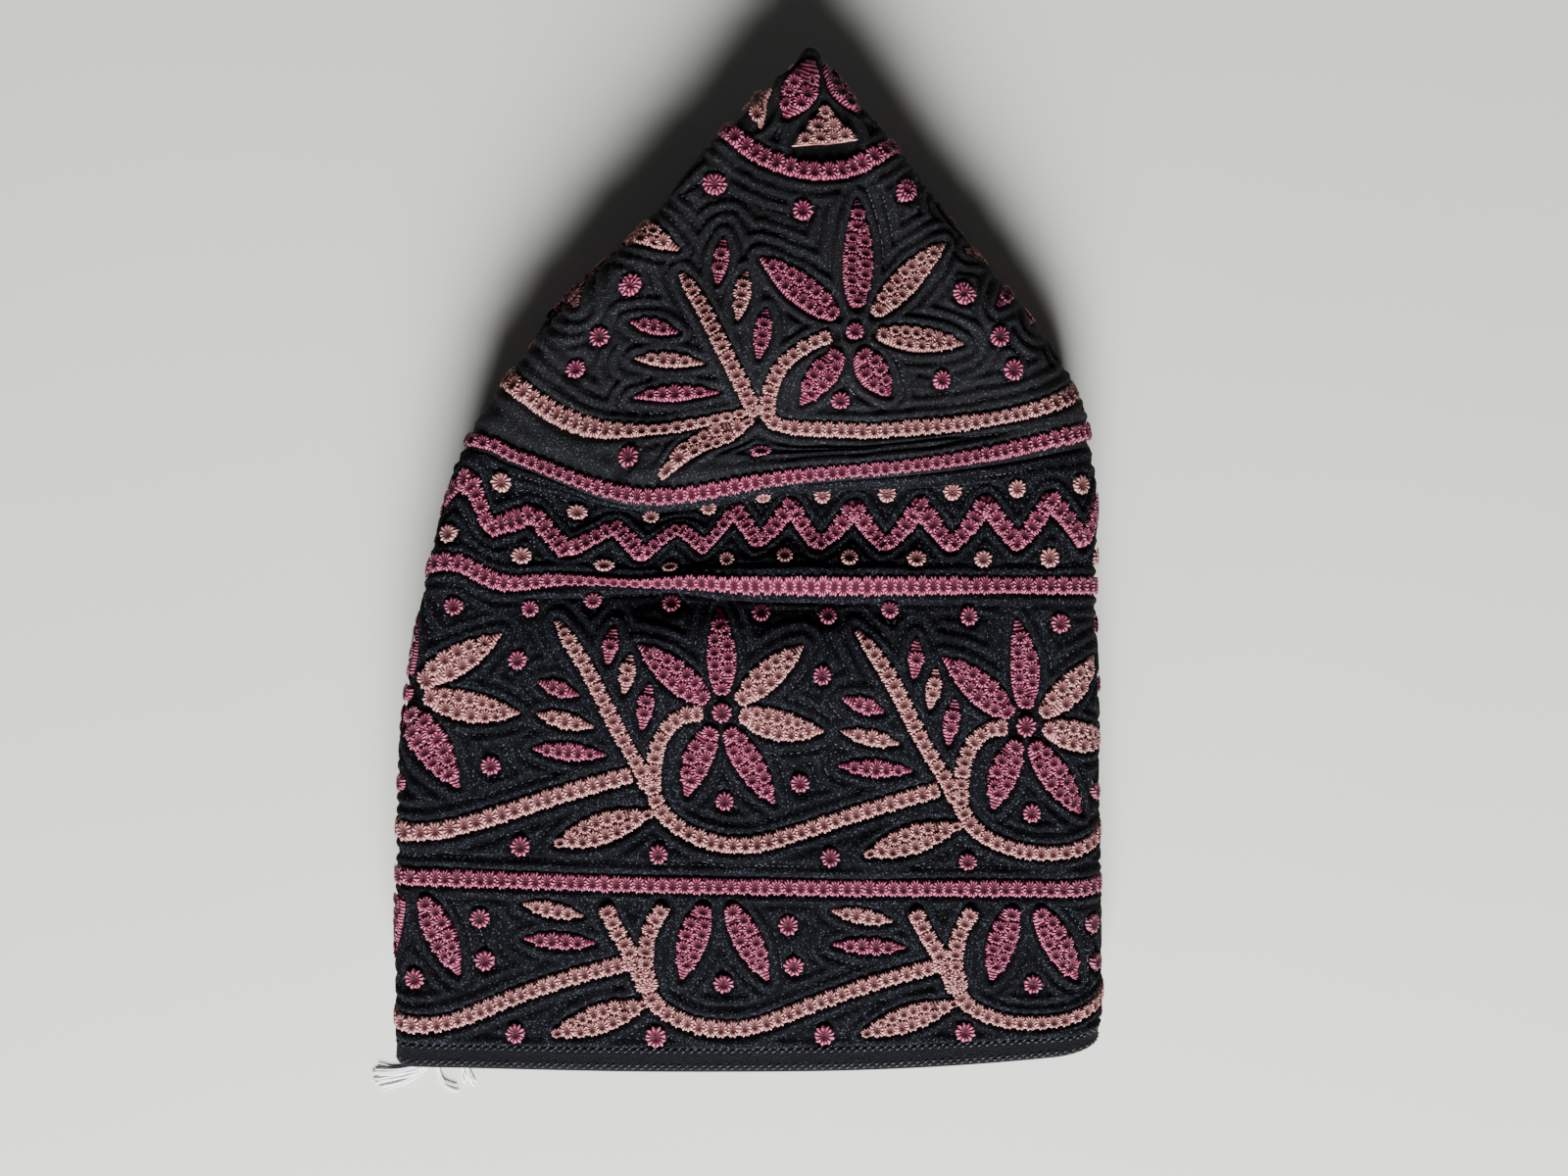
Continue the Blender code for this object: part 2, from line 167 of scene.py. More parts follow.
SIDE_REPEATS = 9
SIDE_PITCH = 61.8
SIDE_FLOWER_SHARE = 0.105
SIDE_GATHER = 0.0051
SIDE_RISE = 3.2
SIDE_LEAN = 3.2
SIDE_LEAN_ENDS = 1.2
UPPER_SHAPES = (
    ("petal", "pink", 5.8, ((-0.5, 139.2), (-1.6, 131.0), (-2.8, 122.6))),
    ("petal", "pink", 5.9, ((-3.2, 140.6), (-10.6, 135.6), (-18.6, 130.2))),
    ("petal", "beige", 5.9, ((2.9, 140.4), (8.4, 134.8), (14.8, 129.0))),
    ("petal", "beige", 6.0, ((3.6, 142.6), (12.2, 144.6), (20.8, 145.2))),
    ("petal", "pink", 5.9, ((1.6, 145.6), (6.4, 152.6), (11.4, 160.0))),
    ("petal", "pink", 5.9, ((-1.4, 145.6), (-4.4, 152.4), (-6.4, 159.4))),
    ("strip", "beige", 3.1, ((-3.8, 142.8), (-7.6, 143.6), (-10.4, 146.0), (-12.3, 150.0), (-12.9, 154.2),
                             (-13.0, 157.6))),
    ("stem", "beige", 2.95, ((-14.0, 158.0), (-15.6, 154.4), (-18.8, 149.6), (-23.6, 142.2), (-29.0, 134.6),
                             (-36.2, 125.8))),
    ("leaf", "pink", 3.2, ((-29.2, 141.0), (-38.2, 138.6))),
    ("leaf", "beige", 3.3, ((-25.4, 147.0), (-37.6, 145.0))),
    ("leaf", "pink", 3.5, ((-22.6, 152.2), (-37.8, 151.8))),
    ("leaf", "pink", 3.2, ((-24.2, 134.6), (-23.9, 126.8))),
    ("leaf", "beige", 3.2, ((-20.1, 140.2), (-19.8, 132.0))),
    ("leaf", "pink", 3.3, ((-15.6, 147.0), (-15.2, 137.6))),
    ("strip", "beige", 3.2, ((-13.4, 156.8), (-11.6, 161.6), (-8.0, 165.0), (-3.0, 167.2), (2.6, 168.2),
                             (9.2, 167.6), (17.6, 164.8), (26.8, 161.4), (36.2, 158.2), (44.4, 155.6))),
    ("leaf", "beige", 6.0, ((-12.8, 162.6), (-20.6, 165.2), (-32.4, 169.4))),
    ("dot", "pink", 3.6, ((6.0, 123.4), (19.8, 123.6), (-29.2, 121.8), (-12.8, 122.6), (19.0, 134.6),
                          (16.4, 155.6), (1.4, 159.8), (22.6, 170.0), (-11.6, 170.4))),
    ("dot", "pink", 3.7, ((0.0, 142.6),)),
)
LOWER_SHAPES = (
    ("petal", "pink", 5.9, ((-2.4, 180.2), (-5.0, 187.4), (-7.2, 195.6))),
    ("petal", "pink", 5.9, ((2.6, 180.2), (6.2, 187.4), (10.0, 195.6))),
    ("strip", "beige", 3.1, ((-10.6, 180.6), (-13.0, 184.6), (-14.2, 189.0), (-14.2, 193.4), (-13.2, 197.6))),
    ("strip", "beige", 3.3, ((-22.4, 180.8), (-19.8, 186.0), (-16.6, 191.6), (-14.2, 197.8))),
    ("leaf", "beige", 3.3, ((-26.6, 183.0), (-39.2, 180.8))),
    ("leaf", "pink", 3.5, ((-24.2, 188.4), (-39.0, 187.8))),
    ("strip", "beige", 3.2, ((-14.2, 195.8), (-12.6, 200.0), (-8.0, 203.2), (-2.6, 204.9), (4.0, 205.2),
                             (10.4, 203.8), (19.8, 200.0), (30.6, 196.0), (40.0, 193.2), (45.4, 191.8))),
    ("leaf", "beige", 5.8, ((-13.6, 200.0), (-21.6, 202.8), (-33.0, 206.6))),
    ("dot", "pink", 3.8, ((14.2, 184.0), (15.2, 192.4), (21.4, 206.6), (-12.2, 206.8), (1.2, 196.2))),
)

# How far apart the mesh's columns lie over each stretch of the cap, from share to share.
COLUMN_STEPS = (
    (-0.032, 0.268, 0.56),
    (0.268, 0.480, 1.80),
    (0.480, 0.525, 0.80),
    (0.525, 0.745, 4.2),
    (0.745, 0.775, 1.5),
    (0.775, 0.968, 4.2),
)
HIDDEN_LAYERS = (0.535, 0.958)
SEED = 7
FRONT_STEPS = 180
LINE_STEP = 0.4
FAR = 1e3
WALL_STEP = 8.0

# Across a strip of thread: share of its half width, rise, and how light it is.
PAD_PROFILE = (
    (-1.05, -0.7, 0.45), (-0.88, 0.26, 0.6), (0.0, 0.44, 0.2), (0.88, 0.26, 0.6), (1.05, -0.7, 0.45),
)
# From the rim of a raised dot inwards: share of its radius, rise, and how light it is.
DOT_RINGS = ((1.04, -0.7, 0.55), (0.92, 0.25, 0.72), (0.5, 0.42, 0.4))
DOT_TOP = (0.42, 0.3)
DOT_SIDES = 18
DOT_SHRINK = 0.92
# From an eyelet's well outwards: radius, rise, and how light it is. The dark tone down in the well is painted
# shade, with the dark cloth that its hole shows.
EYELET_RINGS = ((0.30, 0.0, 0.0), (0.48, 0.14, 0.16), (0.78, 0.40, 0.56), (1.0, 0.1, 0.66))
STRANDS = 12
STRAND_PITCH = 0.65
# Half the width up to which a stroke has one lane of eyelets, a lane's width, and the least half width.
ONE_LANE = 2.15
LANE_WIDTH = 2.9
LEAST_HALF = 0.85
NEARBY = 0.4

# Distance along the cloth and half the thickness there: flush with the side, with a round lip.
HEM_PROFILE = (
    (209.02, 0.9), (209.15, 1.2), (209.5, 1.3), (210.4, 1.22), (211.6, 1.24), (212.5, 1.3), (213.2, 1.18),
    (213.7, 0.8), (214.0, 0.0), (213.7, -0.95), (213.2, -1.2), (211.2, -1.3), (209.6, -1.2), (209.02, -0.9),
)
# Rows of stitches along the hem: distance, rise and how far on the row starts, in stitches.
HEM_ROWS = ((209.15, 1.16, 0.0), (209.7, 1.16, 0.5), (212.35, 1.18, 0.0), (212.9, 1.12, 0.5))
HEM_STITCH_PITCH = 1.65
QUILT_STITCH_PITCH = 1.25
QUILT_STITCH_ROOM = 1.15

# Loose thread ends: each path starts at the rim and runs down to the table.
CORNER = (-69.6, -103.0, 2.6)
SPARE = (-63.2, -103.2, 2.6)
WHITE_ENDS = (
    (CORNER, (-70.4, -106.6, 0.9), (-72.6, -110.8, 0.4), (-77.4, -112.7, 0.3), (-82.8, -113.9, 0.25)),
    (CORNER, (-70.6, -106.4, 0.9), (-73.2, -110.2, 0.4), (-78.0, -111.6, 0.3), (-83.2, -111.9, 0.25)),
    (CORNER, (-70.2, -106.8, 0.9), (-72.4, -111.2, 0.4), (-76.6, -113.9, 0.3), (-81.6, -115.2, 0.25)),
    (CORNER, (-69.6, -106.8, 0.9), (-69.2, -110.8, 0.4), (-68.0, -114.0, 0.3), (-65.2, -115.3, 0.25)),
    (CORNER, (-70.8, -107.0, 0.9), (-73.6, -111.4, 0.4), (-78.4, -112.6, 0.3), (-82.2, -113.0, 0.25)),
    (SPARE, (-63.2, -106.8, 0.9), (-62.8, -110.8, 0.4), (-61.3, -114.2, 0.25)),
    (SPARE, (-63.6, -107.0, 0.9), (-64.2, -111.2, 0.4), (-63.6, -113.6, 0.25)),
)
BLACK_ENDS = (
    (CORNER, (-70.8, -106.6, 1.1), (-74.4, -109.8, 0.6), (-79.0, -111.0, 0.4), (-83.0, -110.3, 0.3)),
)

# The camera looks straight down, and this much of the table lies under one pixel of the picture.
CAMERA_PLACE = (6.6, -5.5, 300.0)
TABLE_PER_PIXEL = 0.2152
PICTURE_WIDTH = 1600.0
SENSOR_WIDTH = 36.0
LIGHT_PLACE = (10.0, -1000.0, 570.0)
LIGHT_AIM = (0.0, 0.0, 10.0)
LIGHT_SIZE = 530.0
LIGHT_ENERGY = 70.0
WORLD_STRENGTH = 0.05
FLOOR_REACH = 3000.0
FLOOR_HEIGHT = -0.1


def column(name):
    place = RING_COLUMNS.index(name)
    return np.array([row[place] for row in RINGS])


def along(name, distance):
    """Smooth value of a ring table column, without overshoot between its rows."""
    stations, rows = column("from_centre"), column(name)
    steps = np.diff(stations)
    rises = np.diff(rows) / steps
    level = rises[1:] * rises[:-1] <= 0.0
    total = np.where(level, 1.0, rises[1:] + rises[:-1])
    inner = np.where(level, 0.0, 2.0 * rises[1:] * rises[:-1] / total)
    slopes = np.concatenate([rises[:1], inner, rises[-1:]])
    row = np.clip(np.searchsorted(stations, distance) - 1, 0, len(steps) - 1)
    t = (distance - stations[row]) / steps[row]
    ends = rows[row] * (1.0 + 2.0 * t) * (1.0 - t) ** 2 + rows[row + 1] * t * t * (3.0 - 2.0 * t)
    return ends + steps[row] * (slopes[row] * t * (1.0 - t) ** 2 - slopes[row + 1] * t * t * (1.0 - t))


def ease(share):
    share = np.clip(share, 0.0, 1.0)
    return share * share * (3.0 - 2.0 * share)


def dents(name, distance, across):
    total = np.zeros_like(across)
    for row in DENTS:
        dent = dict(zip(DENT_COLUMNS, row))
        down = (distance - dent["from_centre"]) / dent["reach"]
        over = (across - dent["across"]) / dent["spread"]
        total += dent[name] * np.exp(-down**2 - over**2)
    return total


def level_run(steps, start, end, height):
    t = np.linspace(0.0, 1.0, steps + 1)[None, :-1]
    x = start + (end - start) * t
    return x, np.broadcast_to(height, x.shape)


def turned_run(steps, middle_x, middle_z, half_x, half_z, first, last):
    angle = np.radians(np.linspace(first, last, steps + 1)[None, :-1])
    return middle_x + half_x * np.cos(angle), middle_z + half_z * np.sin(angle)


def folded_rings(distances):
    """The middle of the cloth: one closed ring of points for each distance, four layers deep."""
    distance = np.asarray(distances, float)[:, None]
    near_tip = np.minimum(distance / TIP_DOME, 1.0)
    scale = np.sqrt(1.0 - (1.0 - near_tip) ** 2)
    at = {name: along(name, distance) for name in RING_COLUMNS[1:]}
    width = np.hypot(at["right_x"] - at["left_x"], at["right_y"] - at["left_y"])
    cloth = CLOTH_THICKNESS * scale
    back_room, gap, front_room = (at[name] * scale for name in ("back_room", "gap", "front_room"))
    full_height = at["back_room"] + at["gap"] + at["front_room"] + CLOTH_THICKNESS
    back_outer = at["lift"] + (1.0 - scale) * full_height / 2 + cloth / 2
    back_inner = back_outer + back_room
    front_inner = back_inner + gap
    front_outer = front_inner + front_room
    upper_left = cloth / 2
    lower_left = cloth / 2 - at["peek"] * scale
    outer_right = width - cloth / 2
    inner_right = outer_right - cloth - RIGHT_FOLD_ROOM * width
    outer_fold = np.minimum((front_outer - back_outer) / 2, 0.42 * width)
    inner_fold = np.minimum(gap / 2, 0.21 * width)
    upper_fold = np.minimum(front_room / 2, 0.17 * width)
    lower_fold = np.minimum(back_room / 2, 0.17 * width)

    front_x, front_z = level_run(FRONT_STEPS, upper_left + upper_fold, outer_right - outer_fold, front_outer)
    run = (front_x - front_x[:, :1]) / (outer_right - outer_fold - front_x[:, :1])
    swell = ease(run / SHOULDER) * ease((1.0 - run) / SHOULDER)
    front_z = front_z + scale * (at["puff"] + dents("height", distance, front_x / width)) * swell
    parts = (
        (front_x, front_z),
        turned_run(40, outer_right - outer_fold, (front_outer + back_outer) / 2,
                   outer_fold, (front_outer - back_outer) / 2, 90.0, -90.0),
        level_run(120, outer_right - outer_fold, lower_left + lower_fold, back_outer),
        turned_run(24, lower_left + lower_fold, (back_outer + back_inner) / 2,
                   lower_fold, back_room / 2, 270.0, 90.0),
        level_run(100, lower_left + lower_fold, inner_right - inner_fold, back_inner),
        turned_run(16, inner_right - inner_fold, (back_inner + front_inner) / 2,
                   inner_fold, gap / 2, -90.0, 90.0),
        level_run(100, inner_right - inner_fold, upper_left + upper_fold, front_inner),
        turned_run(24, upper_left + upper_fold, (front_inner + front_outer) / 2,
                   upper_fold, front_room / 2, 270.0, 90.0),
    )
    x = np.concatenate([part[0] for part in parts], axis=1)
    z = np.concatenate([part[1] for part in parts], axis=1)
    pull = np.zeros_like(x)
    even = ease(run / PULL_SHOULDER) * ease((1.0 - run) / PULL_SHOULDER)
    pull[:, :FRONT_STEPS] = dents("pull", distance, front_x / width) * even
    across = x / width
    run = np.clip(across, 0.0, 1.0)
    table_x = at["left_x"] + (at["right_x"] - at["left_x"]) * across
    table_y = at["left_y"] + (at["right_y"] - at["left_y"]) * run ** at["end_power"]
    table_y = table_y - at["sag"] * 4.0 * run * (1.0 - run) - pull
    return np.stack([table_x, table_y, z], axis=2)


def crown_slip(share, distance):
    """How far the crown's cloth has slipped down at the left and up at the right of its folds."""
    slip, lead = CROWN_SLIP
    reach = ease(distance / 60.0) * (1.0 - ease((distance - CROWN_RADIUS) / 24.0))
    return slip * np.cos(2.0 * np.pi * share + math.radians(lead)) * reach


class FoldedCloth:
    """The cap's folded wall as an even grid of places and outward normals, read between its points."""

    STEP = 0.5
    COLUMNS = 1600

    def __init__(self):
        distances = np.arange(0.0, RIM + self.STEP / 2, self.STEP)
        rings = folded_rings(np.maximum(distances, 0.02))
        rings = np.concatenate([rings, rings[:, :1]], axis=1)
        lengths = np.cumsum(np.linalg.norm(np.diff(rings, axis=1), axis=2), axis=1)
        lengths = np.concatenate([np.zeros((len(rings), 1)), lengths], axis=1)
        shares = np.arange(self.COLUMNS) / self.COLUMNS
        self.places = np.empty((len(rings), self.COLUMNS, 3))
        for row, ring in enumerate(rings):
            for axis in range(3):
                self.places[row, :, axis] = np.interp(shares * lengths[row, -1], lengths[row], ring[:, axis])
        round_it = np.roll(self.places, -1, axis=1) - np.roll(self.places, 1, axis=1)
        down = np.gradient(self.places, axis=0)
        normals = np.cross(down, round_it)
        normals /= np.linalg.norm(normals, axis=2, keepdims=True) + 1e-12
        normals[:3] = normals[3]
        for _ in range(2):
            normals = (np.roll(normals, 1, axis=1) + 2.0 * normals + np.roll(normals, -1, axis=1)) / 4.0
        normals /= np.linalg.norm(normals, axis=2, keepdims=True) + 1e-12
        self.normals = normals

    def at(self, share, distance):
        """Places and normals of the cloth's middle at these shares and distances."""
        share, distance = np.asarray(share, float), np.asarray(distance, float)
        distance = distance + crown_slip(share, distance)
        place = (share % 1.0) * self.COLUMNS
        left = np.floor(place).astype(int)
        right_weight = (place - left)[..., None]
        left = left % self.COLUMNS
        right = (left + 1) % self.COLUMNS
        place = np.clip(distance, 0.0, RIM) / self.STEP
        upper = np.minimum(place.astype(int), len(self.places) - 2)
        lower_weight = (place - upper)[..., None]
        read = []
        for grid in (self.places, self.normals):
            above = grid[upper, left] * (1.0 - right_weight) + grid[upper, right] * right_weight
            below = grid[upper + 1, left] * (1.0 - right_weight) + grid[upper + 1, right] * right_weight
            read.append(above * (1.0 - lower_weight) + below * lower_weight)
        read[1] /= np.linalg.norm(read[1], axis=-1, keepdims=True) + 1e-12
        return read


def hand_waver(x, y, size, seed=0.0):
    """Slow waves that stand for a hand's unevenness, about from -1 to 1, size millimetres long."""
    x, y = np.asarray(x) / size, np.asarray(y) / size
    return (
        np.sin(2.1 * x + 1.3 * y + seed)
        + np.sin(-1.7 * x + 2.3 * y + 2.0 * seed + 1.0)
        + np.sin(3.9 * x - 3.1 * y + 3.0 * seed + 2.0) * 0.6
        + np.sin(1.1 * x + 4.7 * y + seed + 4.0) * 0.5
    ) / 3.1


def run_along(line):
    """How far along a line each of its points lies."""
    return np.concatenate([[0.0], np.cumsum(np.linalg.norm(np.diff(line, axis=0), axis=1))])


def smooth_path(points, step):
    """Points step millimetres apart on a smooth curve through the given ones."""
    points = np.array(points, float)
    if len(points) == 1:
        return points
    if len(points) > 2:
        ends = np.concatenate([[2 * points[0] - points[1]], points, [2 * points[-1] - points[-2]]])
        t = np.linspace(0.0, 1.0, 13)[:-1, None]
        pieces = []
        for first, start, end, last in zip(ends, ends[1:], ends[2:], ends[3:]):
            pieces.append(0.5 * (
                2 * start + (end - first) * t + (2 * first - 5 * start + 4 * end - last) * t**2
                + (3 * start - first - 3 * end + last) * t**3
            ))
        points = np.concatenate(pieces + [points[-1:]])
    lengths = run_along(points)
    stops = np.linspace(0.0, lengths[-1], max(2, int(round(lengths[-1] / step)) + 1))
    return np.stack([np.interp(stops, lengths, points[:, axis]) for axis in range(points.shape[1])], axis=1)


def half_widths(kind, width, count, length):
    """Half the width of a shape at its stations, from its root to its tip."""
    t = np.linspace(0.0, 1.0, count)
    half = np.full(count, width / 2)
    if kind == "petal":
        root = np.sqrt(np.clip(1.0 - (1.0 - np.minimum((t + 0.02) / 0.46, 1.0)) ** 2, 0.0, 1.0))
        half *= root * (1.0 - np.clip((t - 0.46) / 0.57, 0.0, 1.0) ** 1.7)
    elif kind == "leaf":
        half *= np.clip(np.sin(np.pi * (0.05 + 0.9 * t)), 0.0, 1.0) ** 1.05
    elif kind == "scroll":
        half *= 0.6 + 0.4 * np.clip(np.minimum(0.4 + t / 0.16, (1.0 - t) / 0.28), 0.0, 1.0)
    elif kind == "stem":
        half *= np.clip((1.04 - t) * length / 7.0, 0.0, 1.0) ** 0.7
    return half


class Stroke:
    """One embroidered shape: its line, its half widths and its colour, in pattern millimetres."""

    def __init__(self, kind, colour, width, points):
        self.kind = kind
        self.colour = colour
        self.width = width
        self.line = smooth_path(points, LINE_STEP)
        if kind == "wedge":
            self.half = self.line[:, 2] / 2
            self.line = self.line[:, :2]
        else:
            self.half = half_widths(kind, width, len(self.line), len(self.line) * LINE_STEP)


def drawn(shapes):
    """The strokes of a table, where a row of dots holds several."""
    strokes = []
    for kind, colour, width, points in shapes:
        several = [(point,) for point in points] if kind == "dot" else [points]
        strokes.extend(Stroke(kind, colour, width, each) for each in several)
    return strokes


def turned(points, degrees):
    """Points turned about the crown's centre, y out from it, towards larger x."""
    cosine, sine = math.cos(math.radians(degrees)), math.sin(math.radians(degrees))
    x, y = points[..., 0], points[..., 1]
    return np.stack([x * cosine + y * sine, y * cosine - x * sine], axis=-1)


def nearest(places, samples):
    """Distance from each place to the nearest sample's disc, less than 0 inside one."""
    best = np.full(len(places), FAR)
    for start in range(0, len(places), 4000):
        part = places[start:start + 4000, None]
        apart = np.hypot(part[..., 0] - samples[:, 0], part[..., 1] - samples[:, 1]) - samples[:, 2]
        best[start:start + 4000] = apart.min(axis=1)
    return best


def samples_of(strokes, offset=(0.0, 0.0), turn=None):
    """Discs that cover the strokes, moved or turned to a neighbouring repeat."""
    discs = []
    for stroke in strokes:
        every = 2 if len(stroke.line) > 3 else 1
        line, half = stroke.line[::every], stroke.half[::every]
        line = turned(line, turn) if turn is not None else line + np.array(offset)
        discs.append(np.concatenate([line, half[:, None]], axis=1))
    return np.concatenate(discs)


def side_share(repeat):
    """Share round the cap of a place counted in side repeats, a little closer at the front."""
    turn = (np.asarray(repeat, float) - 1.0) / SIDE_REPEATS
    return SIDE_FLOWER_SHARE + turn - SIDE_GATHER * np.sin(2 * np.pi * turn)


def side_repeat(share):
    repeats = np.linspace(-2.0, SIDE_REPEATS + 3.0, 600)
    return np.interp(share, side_share(repeats), repeats)


def side_rise(repeat, distance):
    """How far down the cloth a repeat of the side's upper row is moved, by the hand that drew it."""
    middle = np.clip((distance - 118.0) * (175.0 - distance) / 812.0, 0.0, 1.0)
    return SIDE_RISE * np.sin(2 * np.pi * (np.asarray(repeat) - 1.0) / SIDE_REPEATS) * middle


def side_lean(repeat, distance):
    """How far round the cap, in repeats, the flower at the open folds is drawn away from the front."""
    x = ((np.asarray(repeat, float) + SIDE_REPEATS / 2) % SIDE_REPEATS - SIDE_REPEATS / 2) * SIDE_PITCH
    upper = np.clip((137.0 - distance) / 8.0, 0.0, 1.0)
    lower = np.clip((distance - 145.0) / 12.0, 0.0, 1.0)
    faded = np.clip((distance - 112.0) / 4.0, 0.0, 1.0) * np.clip((176.0 - distance) / 8.0, 0.0, 1.0)
    reach = 7.5 + 6.0 * np.clip((distance - 130.0) / 30.0, 0.0, 1.0)
    lean = SIDE_LEAN + SIDE_LEAN_ENDS * (upper + lower)
    return -lean / SIDE_PITCH * np.exp(-((x / reach) ** 2)) * faded


def before_lean(repeat, distance):
    """The repeat that side_lean takes to this one, found in a few steps."""
    start = repeat
    for _ in range(8):
        start = repeat - side_lean(start, distance)
    return start


def front_x(share):
    """Millimetres round the cap from the left fold, less than 0 behind it."""
    return ((np.asarray(share) + 0.5) % 1.0 - 0.5) * ROUND_THE_CAP


def swells(x, rows):
    """Smooth rises along the cap, each with its height, middle and reach."""
    return sum(height * np.exp(-((x - middle) / reach) ** 2) for height, middle, reach in rows)


def zigzag_turn(share):
    """Place along the zigzag, counted in whole zigzags from a top."""
    x = front_x(share)
    return (x - swells(x, ZIGZAG_STRETCH) + ZIGZAG_START) * ZIGZAGS / ROUND_THE_CAP


def zigzag_share(turn):
    shares = np.linspace(-0.5, 0.5, 4001)[:-1]
    return np.interp(turn, zigzag_turn(shares), shares)


def zigzag_wander(share):
    """The zigzag band dips where the cloth sags at the left."""
    return swells(front_x(share), ZIGZAG_WANDER)


def zigzag_squeeze(share):
    """One zigzag at the left is drawn lower than its neighbours."""
    return 1.0 - swells(front_x(share), ZIGZAG_SQUEEZE)


def upper_line_wander(share):
    """The line below the zigzag is drawn unevenly at the left."""
    return swells(front_x(share), UPPER_LINE_WANDER)


def zigzag_corners(first, last):
    """Corners of the zigzag, counted in half zigzags from a top."""
    pitch = ROUND_THE_CAP / ZIGZAGS
    steps = range(first, last + 1)
    return [(step * pitch / 2, -ZIGZAG_RISE if step % 2 == 0 else ZIGZAG_RISE) for step in steps]


def beside_repeats(share, distance, strokes, repeats):
    """Distance from strokes that are drawn several times round the crown."""
    step = 360.0 / repeats
    turn = (share * 360.0 - CROWN_FLOWER_TURN) % step
    angle = np.radians(np.where(turn > step / 2, turn - step, turn))
    places = np.stack([distance * np.sin(angle), distance * np.cos(angle)], axis=1)
    samples = np.concatenate([samples_of(strokes, turn=repeat * step) for repeat in (-1, 0, 1)])
    return nearest(places, samples)


def beside_crown_shapes(share, distance, strokes, centre):
    """Distance from the crown's embroidery."""
    away = beside_repeats(share, distance, strokes, CROWN_REPEATS)
    if not centre:
        return away
    away = np.minimum(away, beside_repeats(share, distance, centre, CENTRE_REPEATS))
    for middle, width in (SMALL_RING, CROWN_LINE, UPPER_LINE):
        away = np.minimum(away, np.abs(distance - middle) - width / 2)
    return away


def beside_zigzag(share, distance, dots_alone):
    """Distance from the zigzag, or from the dots above and below it."""
    pitch = ROUND_THE_CAP / ZIGZAGS
    turn = zigzag_turn(share)
    best = np.full(len(share), FAR)
    if dots_alone:
        for height, half_step in ZIGZAG_DOTS:
            middle = np.round(turn - half_step) + half_step
            lower = distance - height - 0.8 * zigzag_wander(share)
            best = np.minimum(best, np.hypot((turn - middle) * pitch, lower) - 1.9)
        return best
    x = (turn - np.round(turn)) * pitch
    y = (distance - ZIGZAG_MIDDLE - zigzag_wander(share)) / zigzag_squeeze(share)
    corners = zigzag_corners(-2, 2)
    for (x0, y0), (x1, y1) in zip(corners, corners[1:]):
        t = ((x - x0) * (x1 - x0) + (y - y0) * (y1 - y0)) / ((x1 - x0) ** 2 + (y1 - y0) ** 2)
        t = np.clip(t, 0.0, 1.0)
        apart = np.hypot(x - x0 - t * (x1 - x0), y - y0 - t * (y1 - y0))
        best = np.minimum(best, apart - ZIGZAG_WIDTH / 2)
    return best


def beside_side_shapes(share, distance, upper, lower):
    """Distance from the side's embroidery, all of it or its dots alone."""
    dots_alone = upper[0].kind == "dot"
    repeat = side_repeat(share)
    away = np.full(len(share), FAR)
    for strokes, above, below in ((upper, 112.0, 178.0), (lower, 174.0, RIM + 1.0)):
        here = (distance > above) & (distance < below)
        if not here.any():
            continue
        turn, moved = repeat[here], distance[here]
        if strokes is upper:
            turn = before_lean(turn, moved)
            moved = moved - side_rise(turn, moved)
        places = np.stack([(turn - np.round(turn)) * SIDE_PITCH, moved], axis=1)
        samples = np.concatenate([samples_of(strokes, (shift * SIDE_PITCH, 0.0)) for shift in (-1, 0, 1)])
        near = np.abs(samples[:, 0]) < SIDE_PITCH / 2 + 9.0
        away[here] = np.minimum(away[here], nearest(places, samples[near]))
    here = distance < 120.0
    if here.any():
        away[here] = np.minimum(away[here], beside_zigzag(share[here], distance[here], dots_alone))
    if dots_alone:
        return away
    for middle, width in (CROWN_LINE, UPPER_LINE, LOWER_LINE):
        wander = upper_line_wander(share) if middle == UPPER_LINE[0] else 0.0
        away = np.minimum(away, np.abs(distance - middle - wander) - width / 2)
    return np.minimum(away, np.abs(distance - HEM_TOP - 0.6) + 0.1)


def quilted_wave(away, dot_away, x, y, cord):
    """The corded ground from 0 down in a channel to 1 on a cord: cords follow the shapes."""
    wavered = away + 0.25 * hand_waver(x, y, 5.0, 0.4) * ease(away / 2.0)
    wave = np.abs(np.sin(np.pi * np.maximum(wavered, 0.0) / cord)) ** 0.8
    wave = wave * (1.0 - np.exp(-(np.maximum(dot_away, 0.0) / 0.6) ** 2))
    return np.where((away < 0.0) | (dot_away < 0.0), 0.0, wave)


def mesh_object(name, points, faces, material=None, smooth=True):
    mesh = bpy.data.meshes.new(name)
    mesh.from_pydata(np.asarray(points).tolist(), [], [tuple(face) for face in faces])
    mesh.update()
    mesh.polygons.foreach_set("use_smooth", [smooth] * len(mesh.polygons))
    if material is not None:
        mesh.materials.append(material)
    made = bpy.data.objects.new(name, mesh)
    bpy.context.scene.collection.objects.link(made)
    return made


def grid_faces(rows, columns, closed=True, joined=False):
    """Quads of a grid: its columns meet when closed, and its last row meets its first when joined."""
    row, place = np.meshgrid(np.arange(rows - (not joined)), np.arange(columns - (not closed)), indexing="ij")
    here, below, after = row * columns, (row + 1) % rows * columns, (place + 1) % columns
    return np.stack([here + place, below + place, below + after, here + after], axis=-1).reshape(-1, 4)


def turned_over(quads):
    return quads[:, [0, 3, 2, 1]]


def point_attribute(made, name, values):
    layer = made.data.attributes.new(name, "FLOAT", "POINT")
    layer.data.foreach_set("value", np.asarray(values, np.float32))


def vector_attribute(made, name, values):
    layer = made.data.attributes.new(name, "FLOAT_VECTOR", "POINT")
    layer.data.foreach_set("vector", np.asarray(values, np.float32).reshape(-1))


